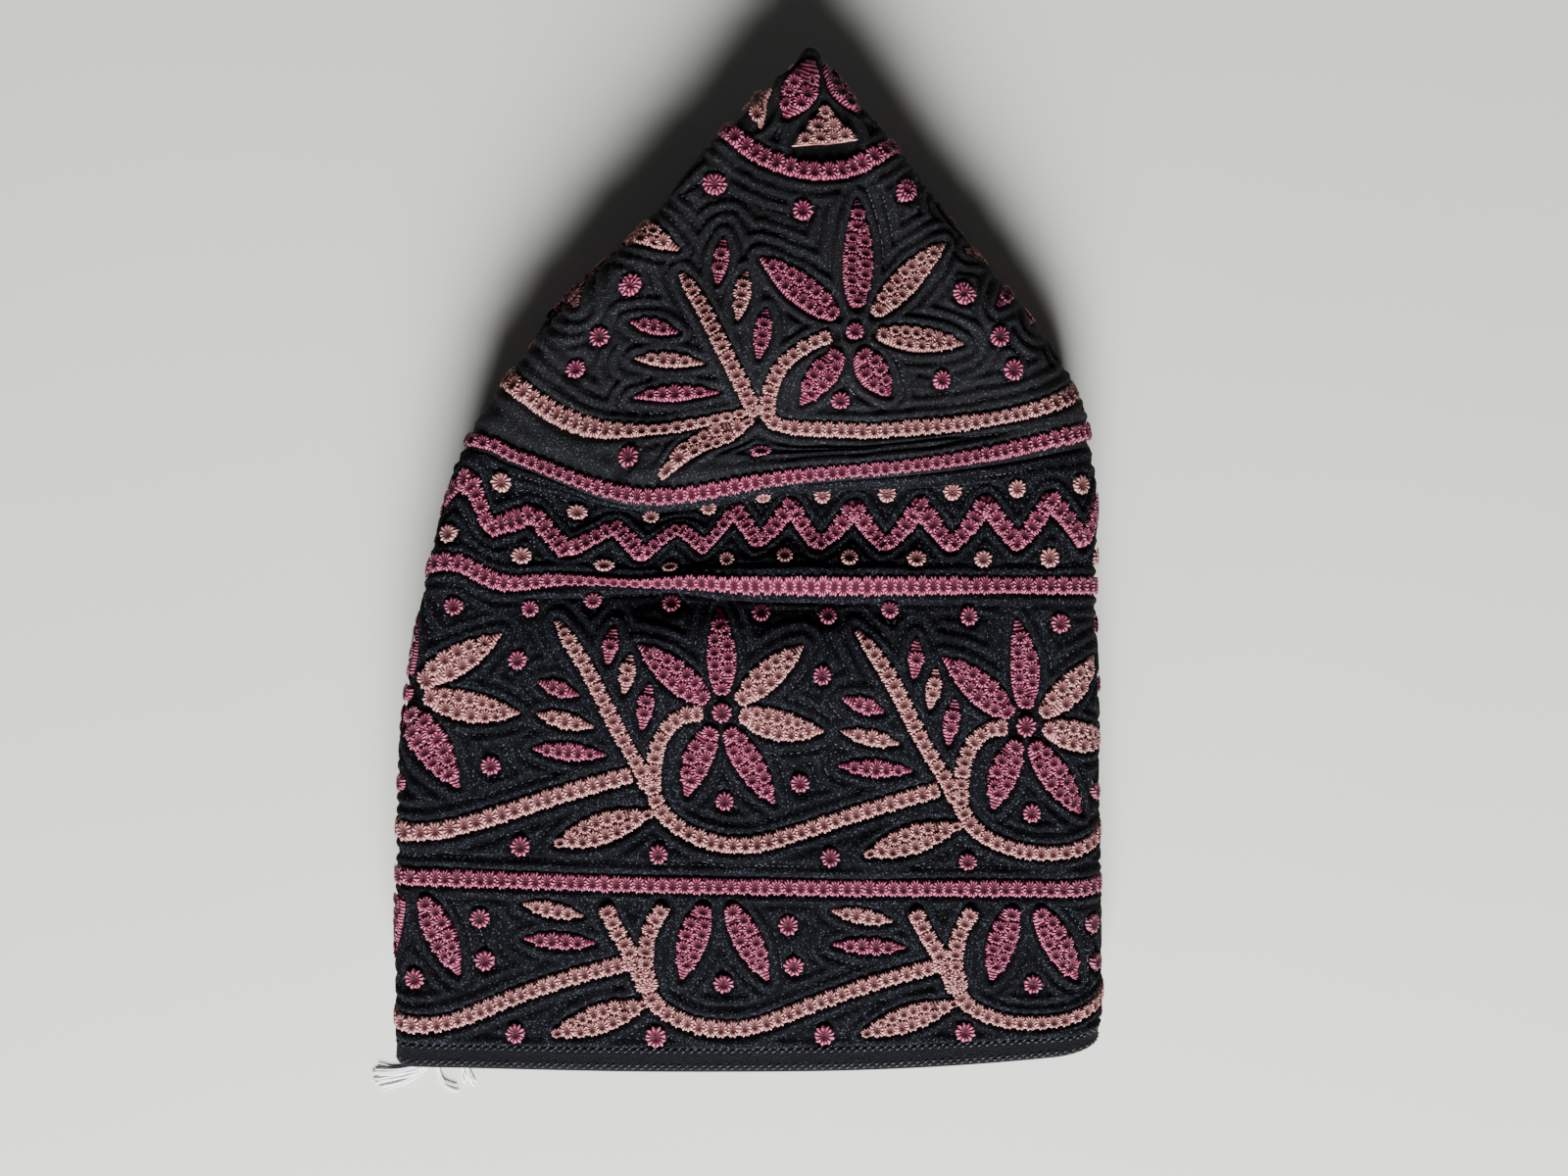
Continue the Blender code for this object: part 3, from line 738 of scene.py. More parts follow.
def cloth_map(made, shares, distances):
    """UV map in decimetres of cloth: round the cap and out from the crown's centre."""
    layer = made.data.uv_layers.new(name="cloth")
    corners = np.empty(len(made.data.loops), np.int32)
    made.data.loops.foreach_get("vertex_index", corners)
    # A face that crosses the first column keeps its corners together.
    x = (np.asarray(shares)[corners] * ROUND_THE_CAP).reshape(-1, 4)
    x = np.where(x < x.max(axis=1, keepdims=True) - ROUND_THE_CAP / 2, x + ROUND_THE_CAP, x).reshape(-1)
    layer.data.foreach_set("uv", np.stack([x, np.asarray(distances)[corners]], axis=1).reshape(-1) / 100.0)


def column_shares():
    shares = []
    for start, end, step in COLUMN_STEPS:
        count = int(round((end - start) * ROUND_THE_CAP / step))
        shares.extend(np.linspace(start, end, count + 1)[:-1])
    return np.array(shares)


def row_distances(start, end, step):
    return np.linspace(start, end, int(round((end - start) / step)) + 1)


def off_the_table(points, lowest):
    """Presses points that come near the table up to this height above it."""
    over = points[:, 2] - lowest - 0.3
    pressed = lowest + 0.3 * np.exp(np.minimum(over, 0.0) / 0.3)
    points[:, 2] = np.where(points[:, 2] < lowest + 0.3, pressed, points[:, 2])
    return points


def pattern():
    """All the strokes, drawn once."""
    tables = {"crown": CROWN_SHAPES, "centre": CENTRE_SHAPES, "upper": UPPER_SHAPES, "lower": LOWER_SHAPES}
    return {name: drawn(shapes) for name, shapes in tables.items()}


CLOTH = FoldedCloth()
PATTERN = pattern()


def beside_shapes(share, distance, dots=False):
    """Distance from the nearest embroidered shape, anywhere on the cap: from its dots, or from the rest."""
    share, distance = np.asarray(share, float), np.asarray(distance, float)
    crown, centre, upper, lower = (
        [stroke for stroke in PATTERN[name] if (stroke.kind == "dot") == dots]
        for name in ("crown", "centre", "upper", "lower")
    )
    away = np.empty(len(share))
    on_crown = distance < CROWN_RADIUS
    if on_crown.any():
        away[on_crown] = beside_crown_shapes(share[on_crown], distance[on_crown], crown, centre)
    if not on_crown.all():
        side = ~on_crown
        away[side] = beside_side_shapes(share[side], distance[side], upper, lower)
    return away


def quilted_skin(shares, distances, sizes):
    """Points of the outer skin over a grid, and how far each lies from the embroidery."""
    distance, share = (part.reshape(-1) for part in np.meshgrid(distances, shares, indexing="ij"))
    away = beside_shapes(share, distance)
    places, normals = CLOTH.at(share, distance)
    x, y = share * ROUND_THE_CAP, distance
    wave = quilted_wave(away, beside_shapes(share, distance, dots=True), x, y, sizes.cord_pitch / MM)
    ridge, channel = sizes.cord_height / MM, sizes.channel_depth / MM
    height = (ridge + channel) * wave * (1.0 + 0.2 * hand_waver(x, y, 11.0, 2.2)) - channel
    height = height - 0.5 * np.exp(-((distance - CROWN_RADIUS) / 0.8) ** 2)
    near_tip = ease(distance / 4.0)
    points = places + normals * (CLOTH_THICKNESS / 2 + height * near_tip)[:, None]
    points = points + normals * (0.25 * hand_waver(x, y, 16.0, 1.7) * ease(distance / 30.0))[:, None]
    return off_the_table(points, 0.2), share, distance, wave


def walled(name, shares, distances, inner_distances, sizes, material):
    """A closed wall of cloth: quilted outside, plain inside, joined at both edges."""
    outer, share, distance, wave = quilted_skin(shares, distances, sizes)
    inner_distance, inner_share = (
        part.reshape(-1) for part in np.meshgrid(inner_distances[::-1], shares, indexing="ij")
    )
    places, normals = CLOTH.at(inner_share, inner_distance)
    inner = places - normals * (CLOTH_THICKNESS / 2)
    rows = len(distances) + len(inner_distances)
    faces = grid_faces(rows, len(shares), joined=distances[0] > CROWN_RADIUS)
    made = mesh_object(name, np.concatenate([outer, inner]) * MM, faces, material)
    # The cord attribute also drives the painted shade in the channels and the painted highlight on the cords.
    point_attribute(made, "cord", np.concatenate([wave, np.full(len(inner), 0.8)]))
    cloth_map(made, np.concatenate([share, inner_share]), np.concatenate([distance, inner_distance]))
    return made


def close_ends(made):
    """Caps the two small holes at the crown's point, and merges what lies in one place."""
    mesh = bmesh.new()
    mesh.from_mesh(made.data)
    bmesh.ops.remove_doubles(mesh, verts=mesh.verts, dist=2e-6)
    edges = [edge for edge in mesh.edges if edge.is_boundary]
    bmesh.ops.holes_fill(mesh, edges=edges, sides=0)
    mesh.to_mesh(made.data)
    mesh.free()
    made.data.update()


# Materials.

def add(tree, kind, inputs=None, **settings):
    """A node with its settings, and its inputs given as values or as sockets to link."""
    made = tree.nodes.new(kind)
    for name, value in settings.items():
        setattr(made, name, value)
    for socket, value in (inputs or {}).items():
        if isinstance(value, bpy.types.NodeSocket):
            tree.links.new(value, made.inputs[socket])
        else:
            made.inputs[socket].default_value = value
    return made


def maths(tree, operation, first, second=0.0, third=0.0, clamp=False):
    inputs = {0: first, 1: second, 2: third}
    return add(tree, "ShaderNodeMath", inputs, operation=operation, use_clamp=clamp).outputs[0]


def noise(tree, vector, scale, detail):
    inputs = {"Vector": vector, "Scale": scale, "Detail": detail}
    return add(tree, "ShaderNodeTexNoise", inputs).outputs["Fac"]


def ramp(tree, factor, stops):
    made = add(tree, "ShaderNodeValToRGB", {"Fac": factor})
    colours = made.color_ramp
    while len(colours.elements) < len(stops):
        colours.elements.new(0.5)
    for element, (place, colour) in zip(colours.elements, stops):
        element.position = place
        element.color = (*colour[:3], 1.0)
    return made.outputs["Color"]


def effect_group(name, inputs, outputs):
    group = bpy.data.node_groups.new(name, "ShaderNodeTree")
    for label, kind, default in inputs:
        socket = group.interface.new_socket(label, in_out="INPUT", socket_type=kind)
        if default is not None:
            socket.default_value = default
    for label, kind in outputs:
        group.interface.new_socket(label, in_out="OUTPUT", socket_type=kind)
    return group, group.nodes.new("NodeGroupInput"), group.nodes.new("NodeGroupOutput")


def weave_effect():
    """Plain weave seen close: the uneven height of the crossing yarns."""
    group, given, made = effect_group(
        "Cotton weave",
        [("Vector", "NodeSocketVector", None), ("Yarns", "NodeSocketFloat", 180.0)],
        [("Height", "NodeSocketFloat")],
    )
    split = add(group, "ShaderNodeSeparateXYZ", {0: given.outputs["Vector"]})
    across = maths(group, "SINE", maths(group, "MULTIPLY", split.outputs["X"], given.outputs["Yarns"]))
    down = maths(group, "SINE", maths(group, "MULTIPLY", split.outputs["Y"], given.outputs["Yarns"]))
    uneven = noise(group, given.outputs["Vector"], 90.0, 3.0)
    height = maths(group, "MULTIPLY_ADD", maths(group, "MULTIPLY", across, down), 0.35, uneven)
    group.links.new(height, made.inputs["Height"])
    return group


def fibre_effect():
    """Fine fibres of cotton and embroidery thread: a rough height and a light and dark fleck."""
    group, given, made = effect_group(
        "Thread fibres",
        [("Vector", "NodeSocketVector", None), ("Fineness", "NodeSocketFloat", 2500.0)],
        [("Height", "NodeSocketFloat"), ("Fleck", "NodeSocketFloat")],
    )
    fine = add(group, "ShaderNodeTexNoise", {
        "Vector": given.outputs["Vector"], "Scale": given.outputs["Fineness"],
        "Detail": 2.0, "Roughness": 0.6,
    })
    fleck = maths(group, "MULTIPLY", fine.outputs["Fac"], noise(group, given.outputs["Vector"], 120.0, 2.0))
    group.links.new(fine.outputs["Fac"], made.inputs["Height"])
    group.links.new(fleck, made.inputs["Fleck"])
    return group


def fresh_material(name):
    material = bpy.data.materials.new(name)
    material.use_nodes = True
    tree = material.node_tree
    tree.nodes.clear()
    output = tree.nodes.new("ShaderNodeOutputMaterial")
    shader = tree.nodes.new("ShaderNodeBsdfPrincipled")
    tree.links.new(shader.outputs["BSDF"], output.inputs["Surface"])
    return material, tree, shader


def use_effect(tree, name, inputs):
    """A node of one of the two effects, whose group is made once."""
    group = bpy.data.node_groups.get(name)
    if group is None:
        group = {"Cotton weave": weave_effect, "Thread fibres": fibre_effect}[name]()
    return add(tree, "ShaderNodeGroup", inputs, node_tree=group)


def cloth_effects(tree, yarns, fineness):
    """What cotton is made of: its weave, its fibres, object coordinates and a fine fluff."""
    own_map = add(tree, "ShaderNodeUVMap", uv_map="cloth").outputs["UV"]
    objects = add(tree, "ShaderNodeTexCoord").outputs["Object"]
    weave = use_effect(tree, "Cotton weave", {"Vector": own_map, "Yarns": yarns}).outputs["Height"]
    fibres = use_effect(tree, "Thread fibres", {"Vector": objects, "Fineness": fineness}).outputs
    return weave, fibres, objects, noise(tree, objects, 2700.0, 1.0)


def finish_surface(tree, shader, colour, relief, strength, depth, values):
    """Links a surface's colour and fine relief to its shader, and sets what is even all over it."""
    bump = add(tree, "ShaderNodeBump", {"Height": relief, "Strength": strength, "Distance": depth})
    tree.links.new(colour, shader.inputs["Base Color"])
    tree.links.new(bump.outputs["Normal"], shader.inputs["Normal"])
    for name, value in values.items():
        shader.inputs[name].default_value = value


def black_cotton(colours, name, shine):
    """Quilted cotton, flecked with dust all over: painted shade darkens it down in the channels in uneven
    patches, and a painted highlight lightens the top of each cord.
    """
    material, tree, shader = fresh_material(name)
    weave, fibres, objects, fluff = cloth_effects(tree, 1150.0, 3200.0)
    wave = add(tree, "ShaderNodeAttribute", attribute_name="cord").outputs["Fac"]
    shade_patches = maths(tree, "SUBTRACT", 0.52, noise(tree, objects, 800.0, 0.0), clamp=True)
    grain = maths(tree, "MULTIPLY_ADD", fluff, 1.5, -0.75)
    specks = maths(tree, "MULTIPLY", maths(tree, "SUBTRACT", fluff, 0.62, clamp=True), 5.0)
    yarns = maths(tree, "MULTIPLY_ADD", weave, 0.3, -0.15)
    # Painted shade: the channels between the cords are darkened in uneven patches.
    low = maths(tree, "SUBTRACT", 1.0, wave, clamp=True)
    channel_shade = maths(tree, "MULTIPLY", low, maths(tree, "MULTIPLY", shade_patches, 4.0))
    # Painted highlight: the cord attribute lightens the top of each cord; the fibre flecks, grain and specks
    # are dust.
    lit = maths(tree, "MULTIPLY_ADD", wave, 0.34, maths(tree, "MULTIPLY_ADD", fibres["Fleck"], 0.4, 0.03))
    lit = maths(tree, "ADD", maths(tree, "ADD", lit, grain), maths(tree, "ADD", specks, yarns))
    lit = maths(tree, "SUBTRACT", lit, channel_shade, clamp=True)
    # The darkest stop is painted shade down in the channels; the lightest is the painted highlight on the
    # cords, and dust.
    stops = ((0.08, (0.0020, 0.0021, 0.0030)), (0.55, colours.cotton), (1.0, colours.cotton_highlight_and_dust))
    colour = ramp(tree, lit, stops)
    relief = maths(tree, "MULTIPLY_ADD", weave, 0.6, fibres["Height"])
    finish_surface(tree, shader, colour, relief, 0.9, 0.0003, {"Roughness": 0.9, "Specular IOR Level": shine})
    return material


def hem_cotton(colours):
    material, tree, shader = fresh_material("folded hem cotton")
    weave, fibres, _, fluff = cloth_effects(tree, 1000.0, 2600.0)
    lit = maths(tree, "MULTIPLY_ADD", fluff, 1.3, maths(tree, "MULTIPLY_ADD", fibres["Fleck"], 0.4, -0.42))
    stops = ((0.08, (0.0016, 0.0018, 0.0028)), (0.55, colours.cotton), (1.0, colours.cotton_highlight_and_dust))
    colour = ramp(tree, lit, stops)
    relief = maths(tree, "MULTIPLY_ADD", weave, 0.8, fibres["Height"])
    finish_surface(tree, shader, colour, relief, 0.9, 0.0003, {"Roughness": 0.9, "Specular IOR Level": 0.12})
    return material


def thread_material(name, well, middle, light):
    """Embroidery thread: dark down in an eyelet's well with painted shade, light along its strands."""
    if name in bpy.data.materials:
        return bpy.data.materials[name]
    material, tree, shader = fresh_material(name)
    objects = add(tree, "ShaderNodeTexCoord").outputs["Object"]
    # The tone attribute paints shade down in each eyelet's well and lightens the thread out along its
    # strands.
    tone = add(tree, "ShaderNodeAttribute", attribute_name="tone").outputs["Fac"]
    shade = add(tree, "ShaderNodeAttribute", attribute_name="shade").outputs["Fac"]
    strand = add(tree, "ShaderNodeAttribute", attribute_name="strand").outputs["Vector"]
    split = add(tree, "ShaderNodeSeparateXYZ", {0: strand})
    turn = maths(tree, "ARCTAN2", split.outputs["Y"], split.outputs["X"])
    bend = maths(tree, "MULTIPLY", noise(tree, objects, 600.0, 0.0), 3.5)
    place = maths(tree, "MULTIPLY_ADD", shade, 60.0, bend)
    lines = maths(tree, "SINE", maths(tree, "MULTIPLY_ADD", turn, float(STRANDS), place))
    fibres = use_effect(tree, "Thread fibres", {"Vector": objects, "Fineness": 3000.0}).outputs["Height"]
    fleck = maths(tree, "MULTIPLY_ADD", fibres, 1.0, -0.5)
    weight = maths(tree, "MULTIPLY", lines, maths(tree, "MULTIPLY_ADD", tone, 0.7, 0.02))
    level = maths(tree, "ADD", maths(tree, "ADD", tone, fleck), maths(tree, "MULTIPLY", shade, 0.16))
    level = maths(tree, "ADD", level, weight, clamp=True)
    colour = ramp(tree, level, ((0.02, well), (0.5, middle), (0.95, light)))
    relief = maths(tree, "MULTIPLY_ADD", lines, 0.8, fibres)
    values = {"Roughness": 0.6, "Specular IOR Level": 0.2, "Sheen Weight": 0.03, "Sheen Roughness": 0.4}
    finish_surface(tree, shader, colour, relief, 0.8, 0.0002, values)
    return material


def embroidery_material(colours, colour):
    tones = (getattr(colours, f"{colour}_{level}") for level in ("well", "middle", "light"))
    return thread_material(f"{colour} embroidery thread", *tones)


def sewing_thread(name, dark, light):
    material, tree, shader = fresh_material(name)
    objects = add(tree, "ShaderNodeTexCoord").outputs["Object"]
    fibres = use_effect(tree, "Thread fibres", {"Vector": objects, "Fineness": 3000.0}).outputs
    colour = ramp(tree, fibres["Fleck"], ((0.1, dark), (0.5, light)))
    finish_surface(tree, shader, colour, fibres["Height"], 0.4, 0.0001, {"Roughness": 0.7})
    return material


# Embroidery in raised thread.

def laid_strokes():
    """Every stroke of the cap: the part it lies on, the stroke, and what finds its place on the cloth."""
    laid = []

    def crown_place(turn):
        def place(points):
            points = turned(points, turn)
            share = (np.degrees(np.arctan2(points[:, 0], points[:, 1])) + CROWN_FLOWER_TURN) / 360.0
            return share, np.hypot(points[:, 0], points[:, 1])
        return place

    def side_place(repeat, moved):
        def place(points):
            where, distance = repeat + points[:, 0] / SIDE_PITCH, points[:, 1]
            if moved:
                distance = distance + side_rise(where, distance)
                where = where + side_lean(where, distance)
            return side_share(where), distance
        return place

    def zigzag_place(points):
        share = zigzag_share(points[:, 0] * ZIGZAGS / ROUND_THE_CAP)
        above = (points[:, 1] - ZIGZAG_MIDDLE) * zigzag_squeeze(share)
        return share, ZIGZAG_MIDDLE + above + zigzag_wander(share)

    def dot_place(points):
        share = zigzag_share(points[:, 0] * ZIGZAGS / ROUND_THE_CAP)
        return share, points[:, 1] + 0.8 * zigzag_wander(share)

    def ring_place(length):
        def place(points):
            return points[:, 0] / length, points[:, 1]
        return place

    for name, repeats in (("crown", CROWN_REPEATS), ("centre", CENTRE_REPEATS)):
        for repeat in range(repeats):
            place = crown_place(repeat * 360.0 / repeats)
            laid.extend(("crown", stroke, place) for stroke in PATTERN[name])
    for repeat in range(SIDE_REPEATS):
        laid.extend(("side", stroke, side_place(repeat, True)) for stroke in PATTERN["upper"])
        laid.extend(("side", stroke, side_place(repeat, False)) for stroke in PATTERN["lower"])
    for part, (middle, width) in (
        ("crown", SMALL_RING), ("crown", CROWN_LINE), ("side", UPPER_LINE), ("side", LOWER_LINE),
    ):
        length = min(2 * math.pi * middle, ROUND_THE_CAP)
        stroke = Stroke("ring", "pink", width, ((0.0, middle), (length, middle)))
        if middle == UPPER_LINE[0]:
            stroke.line[:, 1] += upper_line_wander(stroke.line[:, 0] / length)
            stroke.half *= 1.0 - swells(stroke.line[:, 0], UPPER_LINE_PINCH)
        laid.append((part, stroke, ring_place(length)))
    pitch = ROUND_THE_CAP / ZIGZAGS
    line = np.array(zigzag_corners(-ZIGZAGS, ZIGZAGS)) + (0.0, ZIGZAG_MIDDLE)
    stroke = Stroke("zigzag", "pink", ZIGZAG_WIDTH, line[:2])
    lengths = run_along(line)
    stops = np.linspace(0.0, lengths[-1], int(lengths[-1] / LINE_STEP) + 1)
    stroke.line = np.stack([np.interp(stops, lengths, line[:, axis]) for axis in (0, 1)], axis=1)
    stroke.line[1:-1] = (stroke.line[:-2] + 2 * stroke.line[1:-1] + stroke.line[2:]) / 4
    stroke.half = np.full(len(stroke.line), ZIGZAG_WIDTH / 2)
    laid.append(("side", stroke, zigzag_place))
    for height, half_step in ZIGZAG_DOTS:
        for step in range(ZIGZAGS):
            x = (step + half_step - ZIGZAGS / 2) * pitch
            laid.append(("side", Stroke("dot", "beige", 3.8, ((x, height),)), dot_place))
    return laid


def is_hidden(share):
    share = np.asarray(share) % 1.0
    return (share > HIDDEN_LAYERS[0]) & (share < HIDDEN_LAYERS[1])


def line_frames(line):
    """Direction along a line and to its left, at each of its points."""
    ahead = np.gradient(line, axis=0)
    ahead /= np.linalg.norm(ahead, axis=1, keepdims=True) + 1e-12
    return ahead, np.stack([-ahead[:, 1], ahead[:, 0]], axis=1)


def strand_turn(run):
    """A direction that turns by one strand's share with each strand along a strip."""
    angle = 2 * np.pi * np.asarray(run) / STRAND_PITCH / STRANDS
    return np.stack([np.cos(angle), np.sin(angle), np.zeros_like(angle)], axis=-1)


def on_cloth(place, points, height):
    """Solid places of pattern points, height millimetres above the cloth's skin."""
    share, distance = place(points)
    places, normals = CLOTH.at(share, distance)
    lifted = places + normals * (CLOTH_THICKNESS / 2 + np.asarray(height))[:, None]
    return off_the_table(lifted, 0.05), normals, share


def dot_pad(stroke, place, pad_height):
    """A raised dot of thread: points, faces, tones, strands and whether it is hidden."""
    # Drawn smaller where the cloth is drawn out, so that the dot stays round.
    around = stroke.line[0] + np.array([[0.0, 0.0], [0.5, 0.0], [0.0, 0.5]])
    nearby, _, _ = on_cloth(place, around, np.zeros(3))
    drawn_out = np.clip(np.linalg.norm(nearby[1:] - nearby[0], axis=1) / 0.5, 1.0, 3.0)
    radius = stroke.width / 2 * DOT_SHRINK / drawn_out
    angles = np.linspace(0.0, 2 * np.pi, DOT_SIDES + 1)[:-1]
    circle = np.stack([np.cos(angles), np.sin(angles)], axis=1)
    rings = [stroke.line[0] + radius * size * circle for size, _, _ in DOT_RINGS]
    flat = np.concatenate(rings + [stroke.line[:1]])
    rises = np.append(np.repeat([rise for _, rise, _ in DOT_RINGS], DOT_SIDES), DOT_TOP[0])
    tones = np.append(np.repeat([light for _, _, light in DOT_RINGS], DOT_SIDES), DOT_TOP[1])
    faces = turned_over(grid_faces(len(DOT_RINGS), DOT_SIDES)).tolist()
    last, top = len(flat) - 1 - DOT_SIDES, len(flat) - 1
    faces.extend((last + step, last + (step + 1) % DOT_SIDES, top) for step in range(DOT_SIDES))
    points, _, share = on_cloth(place, flat, rises * pad_height)
    strands = np.concatenate([flat - stroke.line[0], np.zeros((len(flat), 1))], axis=1)
    return points, faces, tones, strands, bool(is_hidden(share).all())


def pad_mesh(stroke, place, pad_height, random):
    """A raised strip of thread over one stroke: points, faces, tones, strands and whether it is hidden."""
    if stroke.kind == "dot":
        return dot_pad(stroke, place, pad_height)
    line, half = stroke.line, stroke.half
    _, left = line_frames(line)
    rough = half + random.uniform(-0.26, 0.14, len(line)) * np.clip(half, 0.0, 1.0)
    other = half + random.uniform(-0.26, 0.14, len(line)) * np.clip(half, 0.0, 1.0)
    narrow = np.clip(half / 1.3, 0.25, 1.0)
    across = np.array([point[0] for point in PAD_PROFILE])
    rise = np.array([point[1] for point in PAD_PROFILE])
    reach = np.where(across[None, :] < 0.0, rough[:, None], other[:, None])
    reach = np.where(np.abs(across[None, :]) > 0.85, reach, half[:, None])
    flat = line[:, None, :] + left[:, None, :] * (reach * across[None, :])[:, :, None]
    heights = np.where(rise[None, :] > 0.0, rise[None, :] * narrow[:, None], rise[None, :]) * pad_height
    if stroke.kind not in ("ring", "zigzag"):
        heights[0] = heights[-1] = -0.7 * pad_height
    flat = flat.reshape(-1, 2)
    points, _, share = on_cloth(place, flat, heights.reshape(-1))
    rows, columns = len(line), len(across)
    faces = turned_over(grid_faces(rows, columns, closed=False))
    tones = np.tile([point[2] for point in PAD_PROFILE], (rows, 1))
    tones = tones + random.uniform(-0.12, 0.12, (rows, columns))
    strands = np.repeat(strand_turn(np.arange(rows) * LINE_STEP), columns, axis=0)
    return points, faces.tolist(), tones.reshape(-1), strands, bool(is_hidden(share).all())


def facing_out(points, faces, place, stroke):
    """True when a face near the strip's middle looks away from the cloth."""
    a, b, c = (points[index] for index in faces[len(faces) // 2][:3])
    _, normals, _ = on_cloth(place, stroke.line[len(stroke.line) // 2][None], np.zeros(1))
    return float(np.dot(np.cross(b - a, c - a), normals[0])) > 0.0


def embroidered_pads(part, colour, sizes, colours):
    """One piece of all the raised strips of one colour on the crown or the side."""
    random = np.random.default_rng(SEED)
    points, faces, tones, strands, count = [], [], [], [], 0
    for where, stroke, place in laid_strokes():
        if where != part or stroke.colour != colour:
            continue
        made, quads, tone, strand, hidden = pad_mesh(stroke, place, sizes.pad_height / MM, random)
        if hidden and len(stroke.line) > 8:
            keep = np.arange(len(stroke.line)) % 3 == 0
            keep[-1] = True
            thinner = Stroke("strip", stroke.colour, stroke.width, ((0, 0), (1, 0)))
            thinner.kind, thinner.line, thinner.half = stroke.kind, stroke.line[keep], stroke.half[keep]
            made, quads, tone, strand, hidden = pad_mesh(thinner, place, sizes.pad_height / MM, random)
        if not facing_out(made, quads, place, stroke):
            quads = [tuple(reversed(quad)) for quad in quads]
        points.append(made)
        faces.extend(tuple(index + count for index in quad) for quad in quads)
        tones.append(tone)
        strands.append(strand)
        count += len(made)
    piece = mesh_object(f"{colour}_embroidery_{part}", np.concatenate(points) * MM, faces,
                        embroidery_material(colours, colour))
    point_attribute(piece, "tone", np.concatenate(tones))
    vector_attribute(piece, "strand", np.concatenate(strands))
    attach(piece, "root")


def eyelet_spots(stroke, pitch):
    """A stroke's eyelets in the pattern, in one lane or more: places, directions and half sizes."""
    if stroke.kind == "dot":
        return stroke.line.copy(), np.array([[1.0, 0.0]]), np.full((1, 2), stroke.width / 2)
    lengths = run_along(stroke.line)
    directions, lefts = line_frames(stroke.line)
    count = max(1, int(round(lengths[-1] / pitch)))
    step = lengths[-1] / count
    flat, ahead, spans = [], [], []

    def row_at(run):
        return int(round(np.interp(run, lengths, np.arange(len(lengths)))))

    for number in range(count):
        middle = (number + 0.5) * step
        half = stroke.half[row_at(middle)]
        lanes = 1 if half < ONE_LANE else max(2, int(round(2 * half / LANE_WIDTH)))
        for lane in range(lanes):
            shifted = middle + (step / 2 if lane % 2 and stroke.kind != "wedge" else 0.0)
            row = row_at(shifted)
            half = stroke.half[row]
            least = min(np.interp((shifted - 0.45 * step, shifted + 0.45 * step), lengths, stroke.half))
            if half < LEAST_HALF or least < 0.42 * half or shifted > lengths[-1] - 0.3 * step:
                continue
            half = min(half, half * 0.5 + least * 0.5 + 0.2)
            side = ((lane + 0.5) / lanes * 2 - 1) * half * 0.97
            flat.append(stroke.line[row] + lefts[row] * side)
            ahead.append(directions[row])
            spans.append((step / 2, half / lanes))
    return np.array(flat), np.array(ahead), np.array(spans)


def eyelet_places(part, colour, dots, sizes):
    """Where the eyelets of the dots, or of all other strokes, lie: places, normals, directions and sizes."""
    found = []
    for where, stroke, place in laid_strokes():
        if where != part or stroke.colour != colour or (stroke.kind == "dot") != dots:
            continue
        flat, ahead, spans = eyelet_spots(stroke, sizes.eyelet_pitch / MM)
        if len(flat) == 0:
            continue
        height = np.full(len(flat), 0.44 * sizes.pad_height / MM)
        points, normals, share = on_cloth(place, flat, height)
        beyond, _, _ = on_cloth(place, flat + ahead * NEARBY, height)
        across, _, _ = on_cloth(place, flat + np.stack([-ahead[:, 1], ahead[:, 0]], axis=1) * NEARBY, height)
        moved = [np.linalg.norm(other - points, axis=1) for other in (beyond, across)]
        seen = ~is_hidden(share)
        spans = spans * np.clip(np.stack(moved, axis=1) / NEARBY, 0.5, 1.05 if dots else 2.0)
        found.append((points[seen], normals[seen], (beyond - points)[seen], spans[seen]))
    return [np.concatenate(each) for each in zip(*found)] if found else None


def eyelet_template(spokes, squareness):
    """One worked eyelet, a unit across: a well with strands round it, squared off where it fills a strip."""
    points, tones, strands = [], [], []
    for radius, rise, light in EYELET_RINGS:
        for spoke in range(spokes):
            angle = 2 * math.pi * spoke / spokes
            corner = (math.cos(angle) ** 4 + math.sin(angle) ** 4) ** -0.25
            reach = radius * (1.0 + squareness * radius * (corner - 1.0))
            if radius == 1.0:
                reach *= 1.12 if spoke % 2 else 0.9
            points.append((reach * math.cos(angle), reach * math.sin(angle), rise))
            tones.append(light)
            strands.append((math.cos(angle), math.sin(angle), 0.0))
    faces = grid_faces(len(EYELET_RINGS), spokes).tolist()
    faces.extend((spoke, (spoke + 1) % spokes, len(points)) for spoke in range(spokes))
    template = mesh_object("eyelet template", points + [(0.0, 0.0, 0.0)], faces)
    # The tone is darkest down in the well: painted shade, with the dark cloth that the hole shows.
    point_attribute(template, "tone", tones + [0.0])
    vector_attribute(template, "strand", strands + [(0.0, 0.0, 0.0)])
    return template


def stitch_template():
    """One short sewn stitch, a unit long: a three-sided thread that dives in at both ends."""
    stations, sides = ((-0.5, -0.8), (-0.22, 0.5), (0.22, 0.5), (0.5, -0.8)), 3
    points = []
    for x, z in stations:
        for side in range(sides):
            angle = 2 * math.pi * side / sides
            points.append((x, math.cos(angle) * 0.5, z + math.sin(angle) * 0.5))
    faces = [quad[::-1] for quad in grid_faces(len(stations), sides).tolist()]
    faces.append(tuple(reversed(range(sides))))
    faces.append(tuple(range(len(points) - sides, len(points))))
    return mesh_object("stitch template", points, faces)


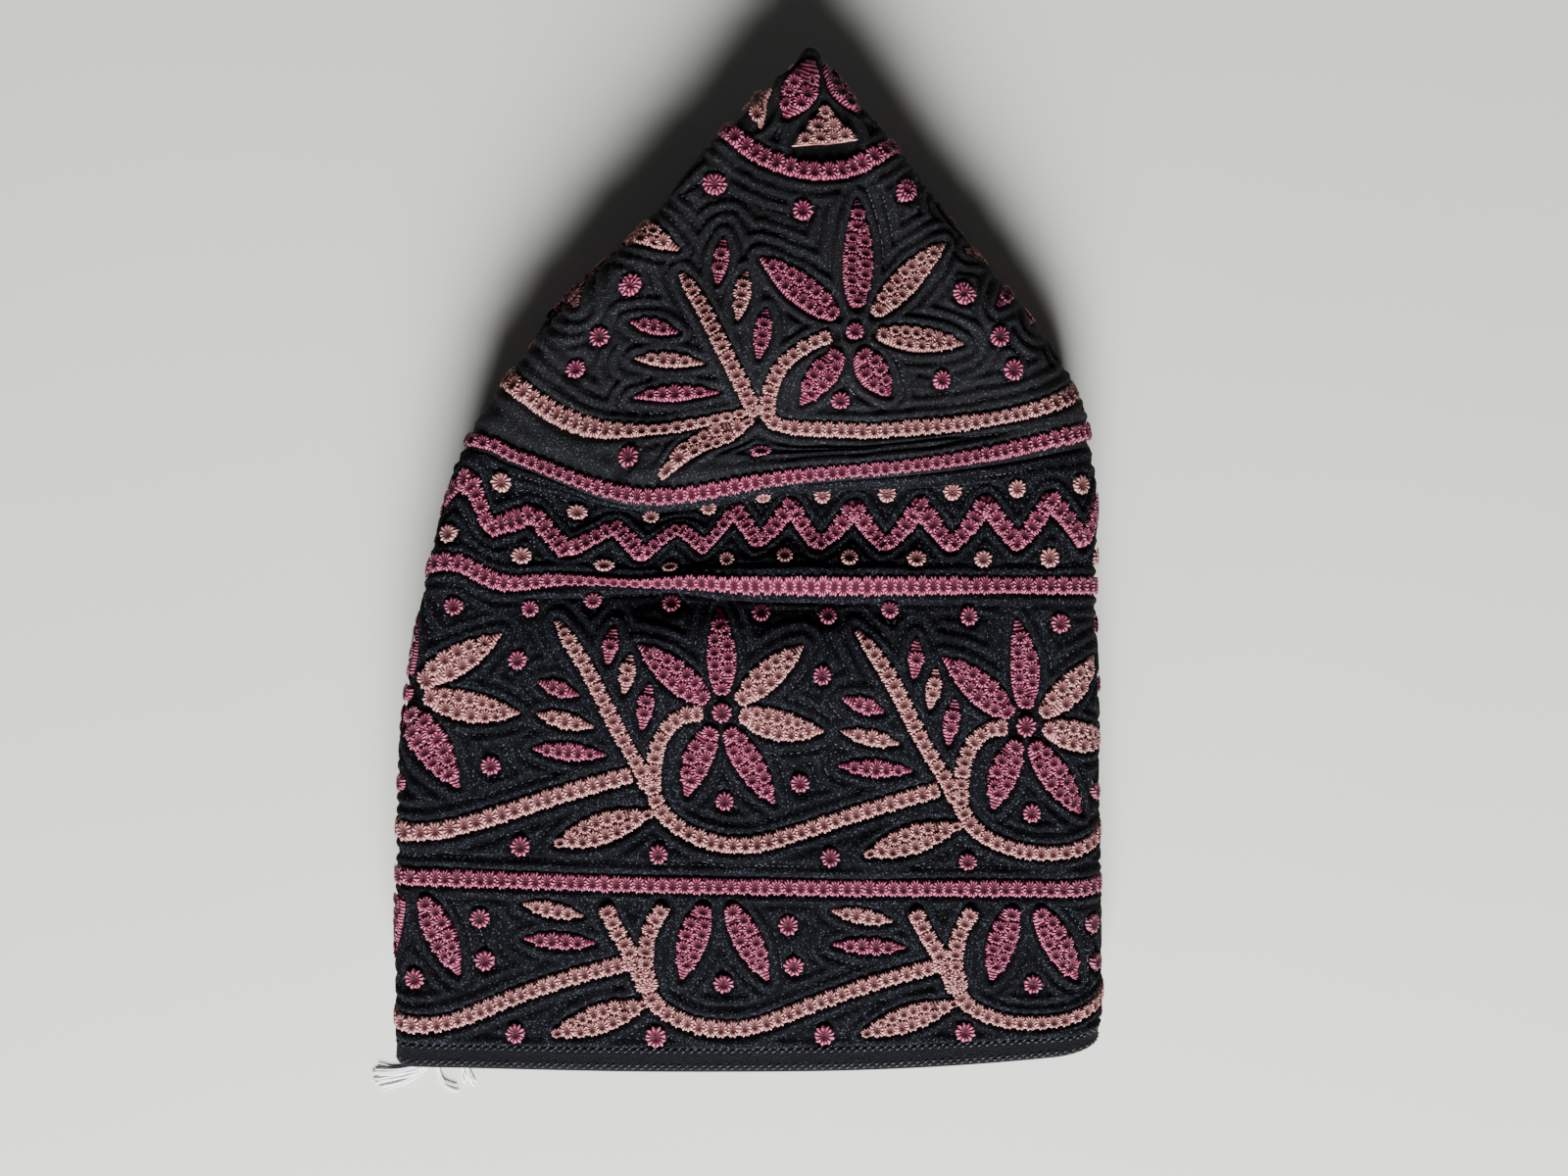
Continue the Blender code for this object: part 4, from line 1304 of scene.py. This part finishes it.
def repeats_tree():
    """Geometry Nodes that set a template on each point, turned to the cloth and a little uneven."""
    name = "Set on the cloth"
    if name in bpy.data.node_groups:
        return bpy.data.node_groups[name]
    tree = bpy.data.node_groups.new(name, "GeometryNodeTree")
    for label, kind in (
        ("Geometry", "Geometry"), ("Template", "Object"), ("Unevenness", "Float"),
        ("Turn", "Float"), ("Seed", "Int"), ("Material", "Material"),
    ):
        tree.interface.new_socket(label, in_out="INPUT", socket_type=f"NodeSocket{kind}")
    tree.interface.new_socket("Geometry", in_out="OUTPUT", socket_type="NodeSocketGeometry")
    given, made = tree.nodes.new("NodeGroupInput").outputs, tree.nodes.new("NodeGroupOutput")

    def drawn_value(seed, reach):
        limits = {"Seed": seed, 2: -reach, 3: reach}
        return add(tree, "FunctionNodeRandomValue", limits, data_type="FLOAT").outputs[1]

    def stored(label):
        found = add(tree, "GeometryNodeInputNamedAttribute", {"Name": label}, data_type="FLOAT_VECTOR")
        return found.outputs["Attribute"]

    up, ahead, span = stored("up"), stored("ahead"), stored("span")
    facing = add(tree, "FunctionNodeAxesToRotation", {"Primary Axis": up, "Secondary Axis": ahead},
                 primary_axis="Z", secondary_axis="X").outputs["Rotation"]
    angle = maths(tree, "MULTIPLY", drawn_value(given["Seed"], 1.0), given["Turn"])
    local = add(tree, "ShaderNodeCombineXYZ", {"Z": angle}).outputs[0]
    turn = add(tree, "FunctionNodeEulerToRotation", {0: local}).outputs[0]
    whole = add(tree, "FunctionNodeRotateRotation", {"Rotation": facing, "Rotate By": turn},
                rotation_space="LOCAL").outputs[0]
    limits = {"Seed": maths(tree, "ADD", given["Seed"], 11.0), 0: (-1.0, -1.0, -1.0), 1: (1.0, 1.0, 1.0)}
    uneven = add(tree, "FunctionNodeRandomValue", limits, data_type="FLOAT_VECTOR").outputs[0]
    scaled = add(tree, "ShaderNodeVectorMath", {0: uneven, "Scale": given["Unevenness"]}, operation="SCALE")
    grown = add(tree, "ShaderNodeVectorMath", {0: scaled.outputs[0], 1: (1.0, 1.0, 1.0)}, operation="ADD")
    size = add(tree, "ShaderNodeVectorMath", {0: grown.outputs[0], 1: span}, operation="MULTIPLY").outputs[0]
    template = add(tree, "GeometryNodeObjectInfo", {"Object": given["Template"], "As Instance": True})
    points = add(tree, "GeometryNodeMeshToPoints", {"Mesh": given["Geometry"]}).outputs[0]
    placed = add(tree, "GeometryNodeInstanceOnPoints", {
        "Points": points, "Instance": template.outputs["Geometry"], "Rotation": whole, "Scale": size,
    }).outputs[0]
    shade = drawn_value(maths(tree, "ADD", given["Seed"], 23.0), 0.5)
    kept = {"Geometry": placed, "Name": "shade", "Value": shade}
    shaded = add(tree, "GeometryNodeStoreNamedAttribute", kept, data_type="FLOAT", domain="INSTANCE")
    meshes = add(tree, "GeometryNodeRealizeInstances", {"Geometry": shaded.outputs[0]}).outputs[0]
    finished = add(tree, "GeometryNodeSetMaterial", {"Geometry": meshes, "Material": given["Material"]})
    tree.links.new(finished.outputs[0], made.inputs["Geometry"])
    return tree


def set_on_cloth(name, template, places, material, unevenness, turn, seed):
    """A plain mesh of the template repeated at the given places."""
    points, normals, ahead, spans = places
    holder = mesh_object(name, points * MM, [])
    mesh = holder.data
    for label, values in (("up", normals), ("ahead", ahead), ("span", spans * MM)):
        vector_attribute(holder, label, values)
    tree = repeats_tree()
    modifier = holder.modifiers.new("repeats", "NODES")
    modifier.node_group = tree
    values = {
        "Template": template, "Unevenness": unevenness, "Turn": turn, "Seed": seed, "Material": material,
    }
    for item in tree.interface.items_tree:
        if item.item_type == "SOCKET" and item.in_out == "INPUT" and item.name in values:
            modifier[item.identifier] = values[item.name]
    evaluated = holder.evaluated_get(bpy.context.evaluated_depsgraph_get())
    finished = bpy.data.meshes.new_from_object(evaluated)
    # What would dip into the table is pressed flat on it.
    places = np.empty(len(finished.vertices) * 3, np.float32)
    finished.vertices.foreach_get("co", places)
    places[2::3] = np.maximum(places[2::3], 0.0)
    finished.vertices.foreach_set("co", places)
    holder.modifiers.remove(modifier)
    holder.data = finished
    bpy.data.meshes.remove(mesh)
    finished.name = name
    if len(finished.materials) == 0:
        finished.materials.append(material)
    for label in ("up", "ahead", "span"):
        if label in finished.attributes:
            finished.attributes.remove(finished.attributes[label])
    if len(finished.polygons) == 0:
        raise RuntimeError(f"{name}: nothing was set on the cloth")
    return holder


def remove_template(template):
    mesh = template.data
    bpy.data.objects.remove(template)
    bpy.data.meshes.remove(mesh)


def thread_tube(path, radius, sides=6):
    """Points and faces of a thin bare strand along a path."""
    path = smooth_path(path, 1.0)
    ahead = np.gradient(path, axis=0)
    ahead /= np.linalg.norm(ahead, axis=1, keepdims=True)
    side = np.cross(ahead, (0.0, 0.0, 1.0))
    side /= np.linalg.norm(side, axis=1, keepdims=True) + 1e-9
    up = np.cross(side, ahead)
    points = []
    for row, middle in enumerate(path):
        for step in range(sides):
            angle = 2 * math.pi * step / sides
            points.append(middle + radius * (side[row] * math.cos(angle) + up[row] * math.sin(angle)))
    faces = turned_over(grid_faces(len(path), sides)).tolist()
    faces.append(tuple(reversed(range(sides))))
    faces.append(tuple(range(len(points) - sides, len(points))))
    return points, faces


def size_property(name, description, size):
    return bpy.props.FloatProperty(name=name, description=description, unit="LENGTH", precision=5,
                                   default=size * MM)


class KummaSizes(bpy.types.PropertyGroup):
    """Sizes of the cap's relief and stitches."""

    cord_pitch: size_property("Cord pitch", "Distance between neighbouring cords of the quilting", 2.45)
    cord_height: size_property("Cord height", "Rise of a cord above the plain cloth", 0.5)
    channel_depth: size_property("Channel depth", "Depth of the stitched channel beside a cord", 0.48)
    pad_height: size_property("Embroidery height", "Rise of the embroidery above the plain cloth", 0.7)
    eyelet_pitch: size_property("Eyelet pitch", "Distance between neighbouring eyelets along a stroke", 2.3)
    mesh_step: size_property("Mesh step", "Distance between the rows of the cloth's mesh", 0.66)
    hem_stitch: size_property("Hem stitch", "Length of one stitch along the hem", 1.15)


def colour_property(name, description, default):
    return bpy.props.FloatVectorProperty(name=name, description=description, subtype="COLOR", size=3,
                                         min=0.0, max=1.0, default=default)


class KummaColours(bpy.types.PropertyGroup):
    """Colours of the cotton and the threads."""

    cotton: colour_property("Cotton", "Black cotton of the ground", (0.0036, 0.0039, 0.0058))
    # Painted highlight: the lightest cotton colour lightens the tops of the cords, and it also colours the
    # dust flecks.
    cotton_highlight_and_dust: colour_property("Cotton, highlight and dust", "Painted highlight on the cords' tops, and dust flecks", (0.047, 0.051, 0.067))
    # The well colours are painted shade down in the eyelets, with the dark cloth that their holes show.
    pink_well: colour_property("Pink, in the wells", "Painted shade in a pink eyelet's well", (0.048, 0.0025, 0.013))
    pink_middle: colour_property("Pink", "Pink embroidery thread", (0.15, 0.012, 0.042))
    pink_light: colour_property("Pink, lit strands", "Lightest pink strands", (0.48, 0.14, 0.23))
    # Painted shade down in the beige eyelets' wells.
    beige_well: colour_property("Beige, in the wells", "Painted shade in a beige eyelet's well", (0.10, 0.030, 0.033))
    beige_middle: colour_property("Beige", "Beige embroidery thread", (0.25, 0.090, 0.089))
    beige_light: colour_property("Beige, lit strands", "Lightest beige strands", (0.68, 0.355, 0.330))
    floor: colour_property("Floor", "Pale floor under the cap", (0.60, 0.60, 0.56))


class KUMMA_OT_crown(bpy.types.Operator):
    """Make the quilted crown."""

    bl_idname = "kumma.crown"
    bl_label = "Crown"

    def execute(self, context):
        sizes, colours = context.scene.kumma_sizes, context.scene.kumma_colours
        outer = row_distances(0.4, CROWN_RADIUS - SEAM_GAP / 2, sizes.mesh_step / MM)
        inner = row_distances(3.2, CROWN_RADIUS - SEAM_GAP / 2, WALL_STEP)
        cotton = black_cotton(colours, "black cotton of the crown", 0.22)
        piece = walled("crown_cloth", column_shares(), outer, inner, sizes, cotton)
        close_ends(piece)
        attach(piece, "root")
        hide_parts("crown")
        return {"FINISHED"}


class KUMMA_OT_side(bpy.types.Operator):
    """Make the tall quilted strip round the side."""

    bl_idname = "kumma.side"
    bl_label = "Side strip"

    def execute(self, context):
        sizes, colours = context.scene.kumma_sizes, context.scene.kumma_colours
        start, end = CROWN_RADIUS + SEAM_GAP / 2, HEM_TOP - SEAM_GAP / 2
        outer = row_distances(start, end, sizes.mesh_step / MM)
        inner = row_distances(start, end, WALL_STEP)
        cotton = black_cotton(colours, "black cotton of the side", 0.06)
        piece = walled("side_cloth", column_shares(), outer, inner, sizes, cotton)
        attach(piece, "root")
        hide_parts("side_band")
        return {"FINISHED"}


class KUMMA_OT_hem(bpy.types.Operator):
    """Make the turned and rounded hem round the rim."""

    bl_idname = "kumma.hem"
    bl_label = "Rim hem"

    def execute(self, context):
        shares = column_shares()
        distance = np.repeat([row[0] for row in HEM_PROFILE], len(shares))
        half = np.repeat([row[1] for row in HEM_PROFILE], len(shares))
        share = np.tile(shares, len(HEM_PROFILE))
        places, normals = CLOTH.at(share, distance)
        wavy = 0.06 * hand_waver(share * ROUND_THE_CAP, distance, 3.0, 0.8)
        points = off_the_table(places + normals * (half + wavy * np.sign(half))[:, None], 0.1)
        faces = grid_faces(len(HEM_PROFILE), len(shares), joined=True)
        piece = mesh_object("hem_cloth", points * MM, faces, hem_cotton(context.scene.kumma_colours))
        cloth_map(piece, share, distance)
        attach(piece, "root")
        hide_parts("rim_hem")
        return {"FINISHED"}


class KUMMA_OT_embroidery(bpy.types.Operator):
    """Make the raised pink and beige strokes of the embroidery."""

    bl_idname = "kumma.embroidery"
    bl_label = "Embroidery"

    def execute(self, context):
        for part in ("crown", "side"):
            for colour in ("pink", "beige"):
                embroidered_pads(part, colour, context.scene.kumma_sizes, context.scene.kumma_colours)
        return {"FINISHED"}


class KUMMA_OT_eyelets(bpy.types.Operator):
    """Set the worked eyelets on the embroidery."""

    bl_idname = "kumma.eyelets"
    bl_label = "Eyelets"

    def execute(self, context):
        sizes, colours = context.scene.kumma_sizes, context.scene.kumma_colours
        for kind, squareness, spokes in (("eyelets", 0.85, 16), ("dots", 0.0, 18)):
            template = eyelet_template(spokes, squareness)
            for part, colour in (("crown", "pink"), ("crown", "beige"), ("side", "pink"), ("side", "beige")):
                found = eyelet_places(part, colour, kind == "dots", sizes)
                if found is None:
                    continue
                points, normals, ahead, spans = found
                laid = (points, normals, ahead, np.concatenate([spans, np.ones((len(spans), 1))], axis=1))
                piece = set_on_cloth(f"{colour}_{kind}_{part}", template, laid,
                                     embroidery_material(colours, colour), 0.07, 0.12, SEED)
                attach(piece, "root")
            remove_template(template)
        return {"FINISHED"}


def stitch_spots(cord):
    """Running stitches in the channels: share, distance, slope of the ground both ways, and way round."""
    random = np.random.default_rng(SEED)
    step = QUILT_STITCH_PITCH
    found = []
    for start, end in ((3.0, CROWN_RADIUS - 1.0), (CROWN_RADIUS + 1.0, HEM_TOP - 1.5)):
        for distance in np.arange(start, end, step):
            round_it = ROUND_THE_CAP if distance > CROWN_RADIUS else 2 * math.pi * distance
            count = max(6, int(round_it * 0.55 / step))
            share = -0.03 + (np.arange(count) + random.uniform(-0.4, 0.4, count)) / count * 0.55
            found.append(np.stack([share, distance + random.uniform(-0.8, 0.8, count)], axis=1))
    places = np.concatenate(found)
    share, distance = places[:, 0], places[:, 1]
    away = beside_shapes(share, distance)
    ring = np.where(distance > CROWN_RADIUS, ROUND_THE_CAP, 2 * math.pi * distance)
    over = (beside_shapes(share + 0.1 / ring, distance) - away) / 0.1
    down = (beside_shapes(share, distance + 0.1) - away) / 0.1
    target = np.maximum(np.round(away / cord), 1.0) * cord
    move = target - away
    keep = (away > 0.4) & (np.abs(move) < cord * 0.5) & (np.hypot(over, down) > 0.7)
    share = (share + over * move / ring)[keep]
    distance = (distance + down * move)[keep]
    over, down, ring = over[keep], down[keep], ring[keep]
    # One stitch in each small square of cloth.
    square = np.round(np.stack([share * ring, distance], axis=1) / QUILT_STITCH_ROOM)
    _, first = np.unique(square, axis=0, return_index=True)
    share, distance, over, down, ring = (part[first] for part in (share, distance, over, down, ring))
    cords = beside_shapes(share, distance) / cord
    on_line = np.abs(cords - np.round(cords)) < 0.14
    share, distance, over, down, ring = (part[on_line] for part in (share, distance, over, down, ring))
    return share, distance, over, down, ring


class KUMMA_OT_quilting_stitches(bpy.types.Operator):
    """Sew the small running stitches down in the channels of the quilting."""

    bl_idname = "kumma.quilting_stitches"
    bl_label = "Quilting stitches"

    def execute(self, context):
        template = stitch_template()
        share, distance, over, down, ring = stitch_spots(context.scene.kumma_sizes.cord_pitch / MM)
        places, normals = CLOTH.at(share, distance)
        beyond, _ = CLOTH.at(share - down * 0.3 / ring, distance + over * 0.3)
        places = places + normals * (CLOTH_THICKNESS / 2 - 0.3)
        places = off_the_table(places, 0.15)
        spans = np.tile([0.6, 0.2, 0.2], (len(places), 1))
        material = sewing_thread("quilting thread", (0.025, 0.025, 0.03), (0.15, 0.155, 0.18))
        laid = (places, normals, beyond - places, spans)
        piece = set_on_cloth("quilting_stitches", template, laid, material, 0.2, 0.2, SEED)
        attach(piece, "root")
        remove_template(template)
        return {"FINISHED"}


class KUMMA_OT_hem_stitches(bpy.types.Operator):
    """Sew the rows of stitches along the hem."""

    bl_idname = "kumma.hem_stitches"
    bl_label = "Hem stitches"

    def execute(self, context):
        sizes = context.scene.kumma_sizes
        template = stitch_template()
        count = int(ROUND_THE_CAP / HEM_STITCH_PITCH)
        rows = []
        for distance, lift, shift in HEM_ROWS:
            share = (np.arange(count) + shift) / count
            places, normals = CLOTH.at(share, np.full(count, distance))
            beyond, _ = CLOTH.at(share + 0.8 / ROUND_THE_CAP, np.full(count, distance - 0.45))
            rows.append((off_the_table(places + normals * lift, 0.1), normals, beyond - places))
        points, normals, ahead = (np.concatenate([row[index] for row in rows]) for index in range(3))
        spans = np.tile([sizes.hem_stitch / MM, 0.3, 0.34], (len(points), 1))
        material = sewing_thread("hem thread", (0.015, 0.016, 0.02), (0.075, 0.08, 0.10))
        laid = (points, normals, ahead, spans)
        piece = set_on_cloth("hem_stitches", template, laid, material, 0.08, 0.08, SEED)
        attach(piece, "root")
        remove_template(template)
        return {"FINISHED"}


class KUMMA_OT_loose_threads(bpy.types.Operator):
    """Lay the loose thread ends at the rim's left end."""

    bl_idname = "kumma.loose_threads"
    bl_label = "Loose threads"

    def execute(self, context):
        random = np.random.default_rng(SEED)
        for name, paths, dark, light, radius, slot in (
            ("white_thread_ends", WHITE_ENDS, (0.88,) * 3, (0.97,) * 3, 0.17, "white_thread"),
            ("black_thread_ends", BLACK_ENDS, (0.006, 0.006, 0.008), (0.03, 0.03, 0.035), 0.13,
             "black_cotton"),
        ):
            points, faces = [], []
            for path in paths:
                for _ in range(4 if slot == "white_thread" else 1):
                    spread = np.linspace(0.15, 1.0, len(path))[:, None] * random.uniform(-0.8, 0.8, (1, 3))
                    spread = spread * (1.0, 1.0, 0.0)
                    strand, quads = thread_tube(np.array(path) + spread, radius)
                    faces.extend(tuple(index + len(points) for index in quad) for quad in quads)
                    points.extend(strand)
            thread = sewing_thread(name.replace("_", " "), dark, light)
            piece = mesh_object(name, np.array(points) * MM, faces, thread)
            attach(piece, "root")
        return {"FINISHED"}


def make_floor(colours):
    """A pale floor, slightly clouded."""
    material, tree, shader = fresh_material("pale floor")
    objects = add(tree, "ShaderNodeTexCoord").outputs["Object"]
    clouds = noise(tree, objects, 6.0, 3.0)
    floor = tuple(colours.floor)
    colour = ramp(tree, clouds, ((0.3, tuple(0.96 * part for part in floor)), (0.7, floor)))
    tree.links.new(colour, shader.inputs["Base Color"])
    shader.inputs["Roughness"].default_value = 0.75
    shader.inputs["Specular IOR Level"].default_value = 0.2
    corners = np.array([(-1.0, -1.0, 0.0), (1.0, -1.0, 0.0), (1.0, 1.0, 0.0), (-1.0, 1.0, 0.0)])
    points = (corners * FLOOR_REACH + (0.0, 0.0, FLOOR_HEIGHT)) * MM
    mesh_object("floor", points, [(0, 1, 2, 3)], material, smooth=False)


def light_room(scene):
    """Faint light all round, and one window in front of the cap."""
    world = bpy.data.worlds.new("soft room")
    world.use_nodes = True
    world.node_tree.nodes["Background"].inputs["Color"].default_value = (0.93, 0.96, 1.0, 1.0)
    world.node_tree.nodes["Background"].inputs["Strength"].default_value = WORLD_STRENGTH
    scene.world = world
    light = bpy.data.lights.new("key window", "AREA")
    light.shape = "RECTANGLE"
    light.size = LIGHT_SIZE * MM
    light.size_y = LIGHT_SIZE * MM
    light.energy = LIGHT_ENERGY
    lamp = bpy.data.objects.new("key window", light)
    scene.collection.objects.link(lamp)
    lamp.location = np.array(LIGHT_PLACE) * MM
    direction = np.array(LIGHT_AIM) - np.array(LIGHT_PLACE)
    lamp.rotation_euler = (
        math.acos(-direction[2] / np.linalg.norm(direction)), 0.0,
        math.atan2(direction[1], direction[0]) - math.pi / 2,
    )


def look_down(scene):
    """The camera, straight above the cap."""
    camera = bpy.data.cameras.new("camera")
    camera.sensor_width = SENSOR_WIDTH
    camera.lens = CAMERA_PLACE[2] / TABLE_PER_PIXEL * SENSOR_WIDTH / PICTURE_WIDTH
    camera.clip_start = 0.01
    holder = bpy.data.objects.new("camera", camera)
    holder.location = np.array(CAMERA_PLACE) * MM
    scene.collection.objects.link(holder)
    scene.camera = holder


class KUMMA_OT_stage(bpy.types.Operator):
    """Set the pale floor, the soft light and the camera."""

    bl_idname = "kumma.stage"
    bl_label = "Stage"

    def execute(self, context):
        make_floor(context.scene.kumma_colours)
        light_room(context.scene)
        look_down(context.scene)
        return {"FINISHED"}


OPERATORS = (
    KUMMA_OT_crown, KUMMA_OT_side, KUMMA_OT_hem, KUMMA_OT_embroidery, KUMMA_OT_eyelets,
    KUMMA_OT_quilting_stitches, KUMMA_OT_hem_stitches, KUMMA_OT_loose_threads, KUMMA_OT_stage,
)


class KUMMA_PT_panel(bpy.types.Panel):
    """Lists the cap's pieces in the sidebar."""

    bl_idname = "KUMMA_PT_panel"
    bl_label = "Kumma cap"
    bl_space_type = "VIEW_3D"
    bl_region_type = "UI"
    bl_category = "Kumma"

    def draw(self, context):
        layout = self.layout
        for operator in OPERATORS:
            layout.operator(operator.bl_idname)
        for group in (context.scene.kumma_sizes, context.scene.kumma_colours):
            for name in group.__annotations__:
                layout.prop(group, name)


CLASSES = (KummaSizes, KummaColours, *OPERATORS, KUMMA_PT_panel)


def register():
    for each in CLASSES:
        bpy.utils.register_class(each)
    bpy.types.Scene.kumma_sizes = bpy.props.PointerProperty(type=KummaSizes)
    bpy.types.Scene.kumma_colours = bpy.props.PointerProperty(type=KummaColours)


def unregister():
    del bpy.types.Scene.kumma_colours
    del bpy.types.Scene.kumma_sizes
    for each in reversed(CLASSES):
        bpy.utils.unregister_class(each)


def declare_cloth():
    """Gathers the hem, the stitches and the embroidery of the crown and the side into lists, which nothing
    uses.
    """
    pieces = {part: [] for part in ("crown", "side")}
    for name in ("hem_cloth", "hem_stitches", "quilting_stitches"):
        pieces["side"].append(bpy.data.objects[name])
    for part in pieces:
        for colour in ("pink", "beige"):
            for kind in ("embroidery", "eyelets", "dots"):
                piece = bpy.data.objects.get(f"{colour}_{kind}_{part}")
                if piece is not None:
                    pieces[part].append(piece)


def main():
    register()
    bpy.ops.kumma.crown()
    bpy.ops.kumma.side()
    bpy.ops.kumma.hem()
    bpy.ops.kumma.embroidery()
    bpy.ops.kumma.eyelets()
    bpy.ops.kumma.quilting_stitches()
    bpy.ops.kumma.hem_stitches()
    bpy.ops.kumma.loose_threads()
    bpy.ops.kumma.stage()
    declare_cloth()


if __name__ == "__main__":
    main()
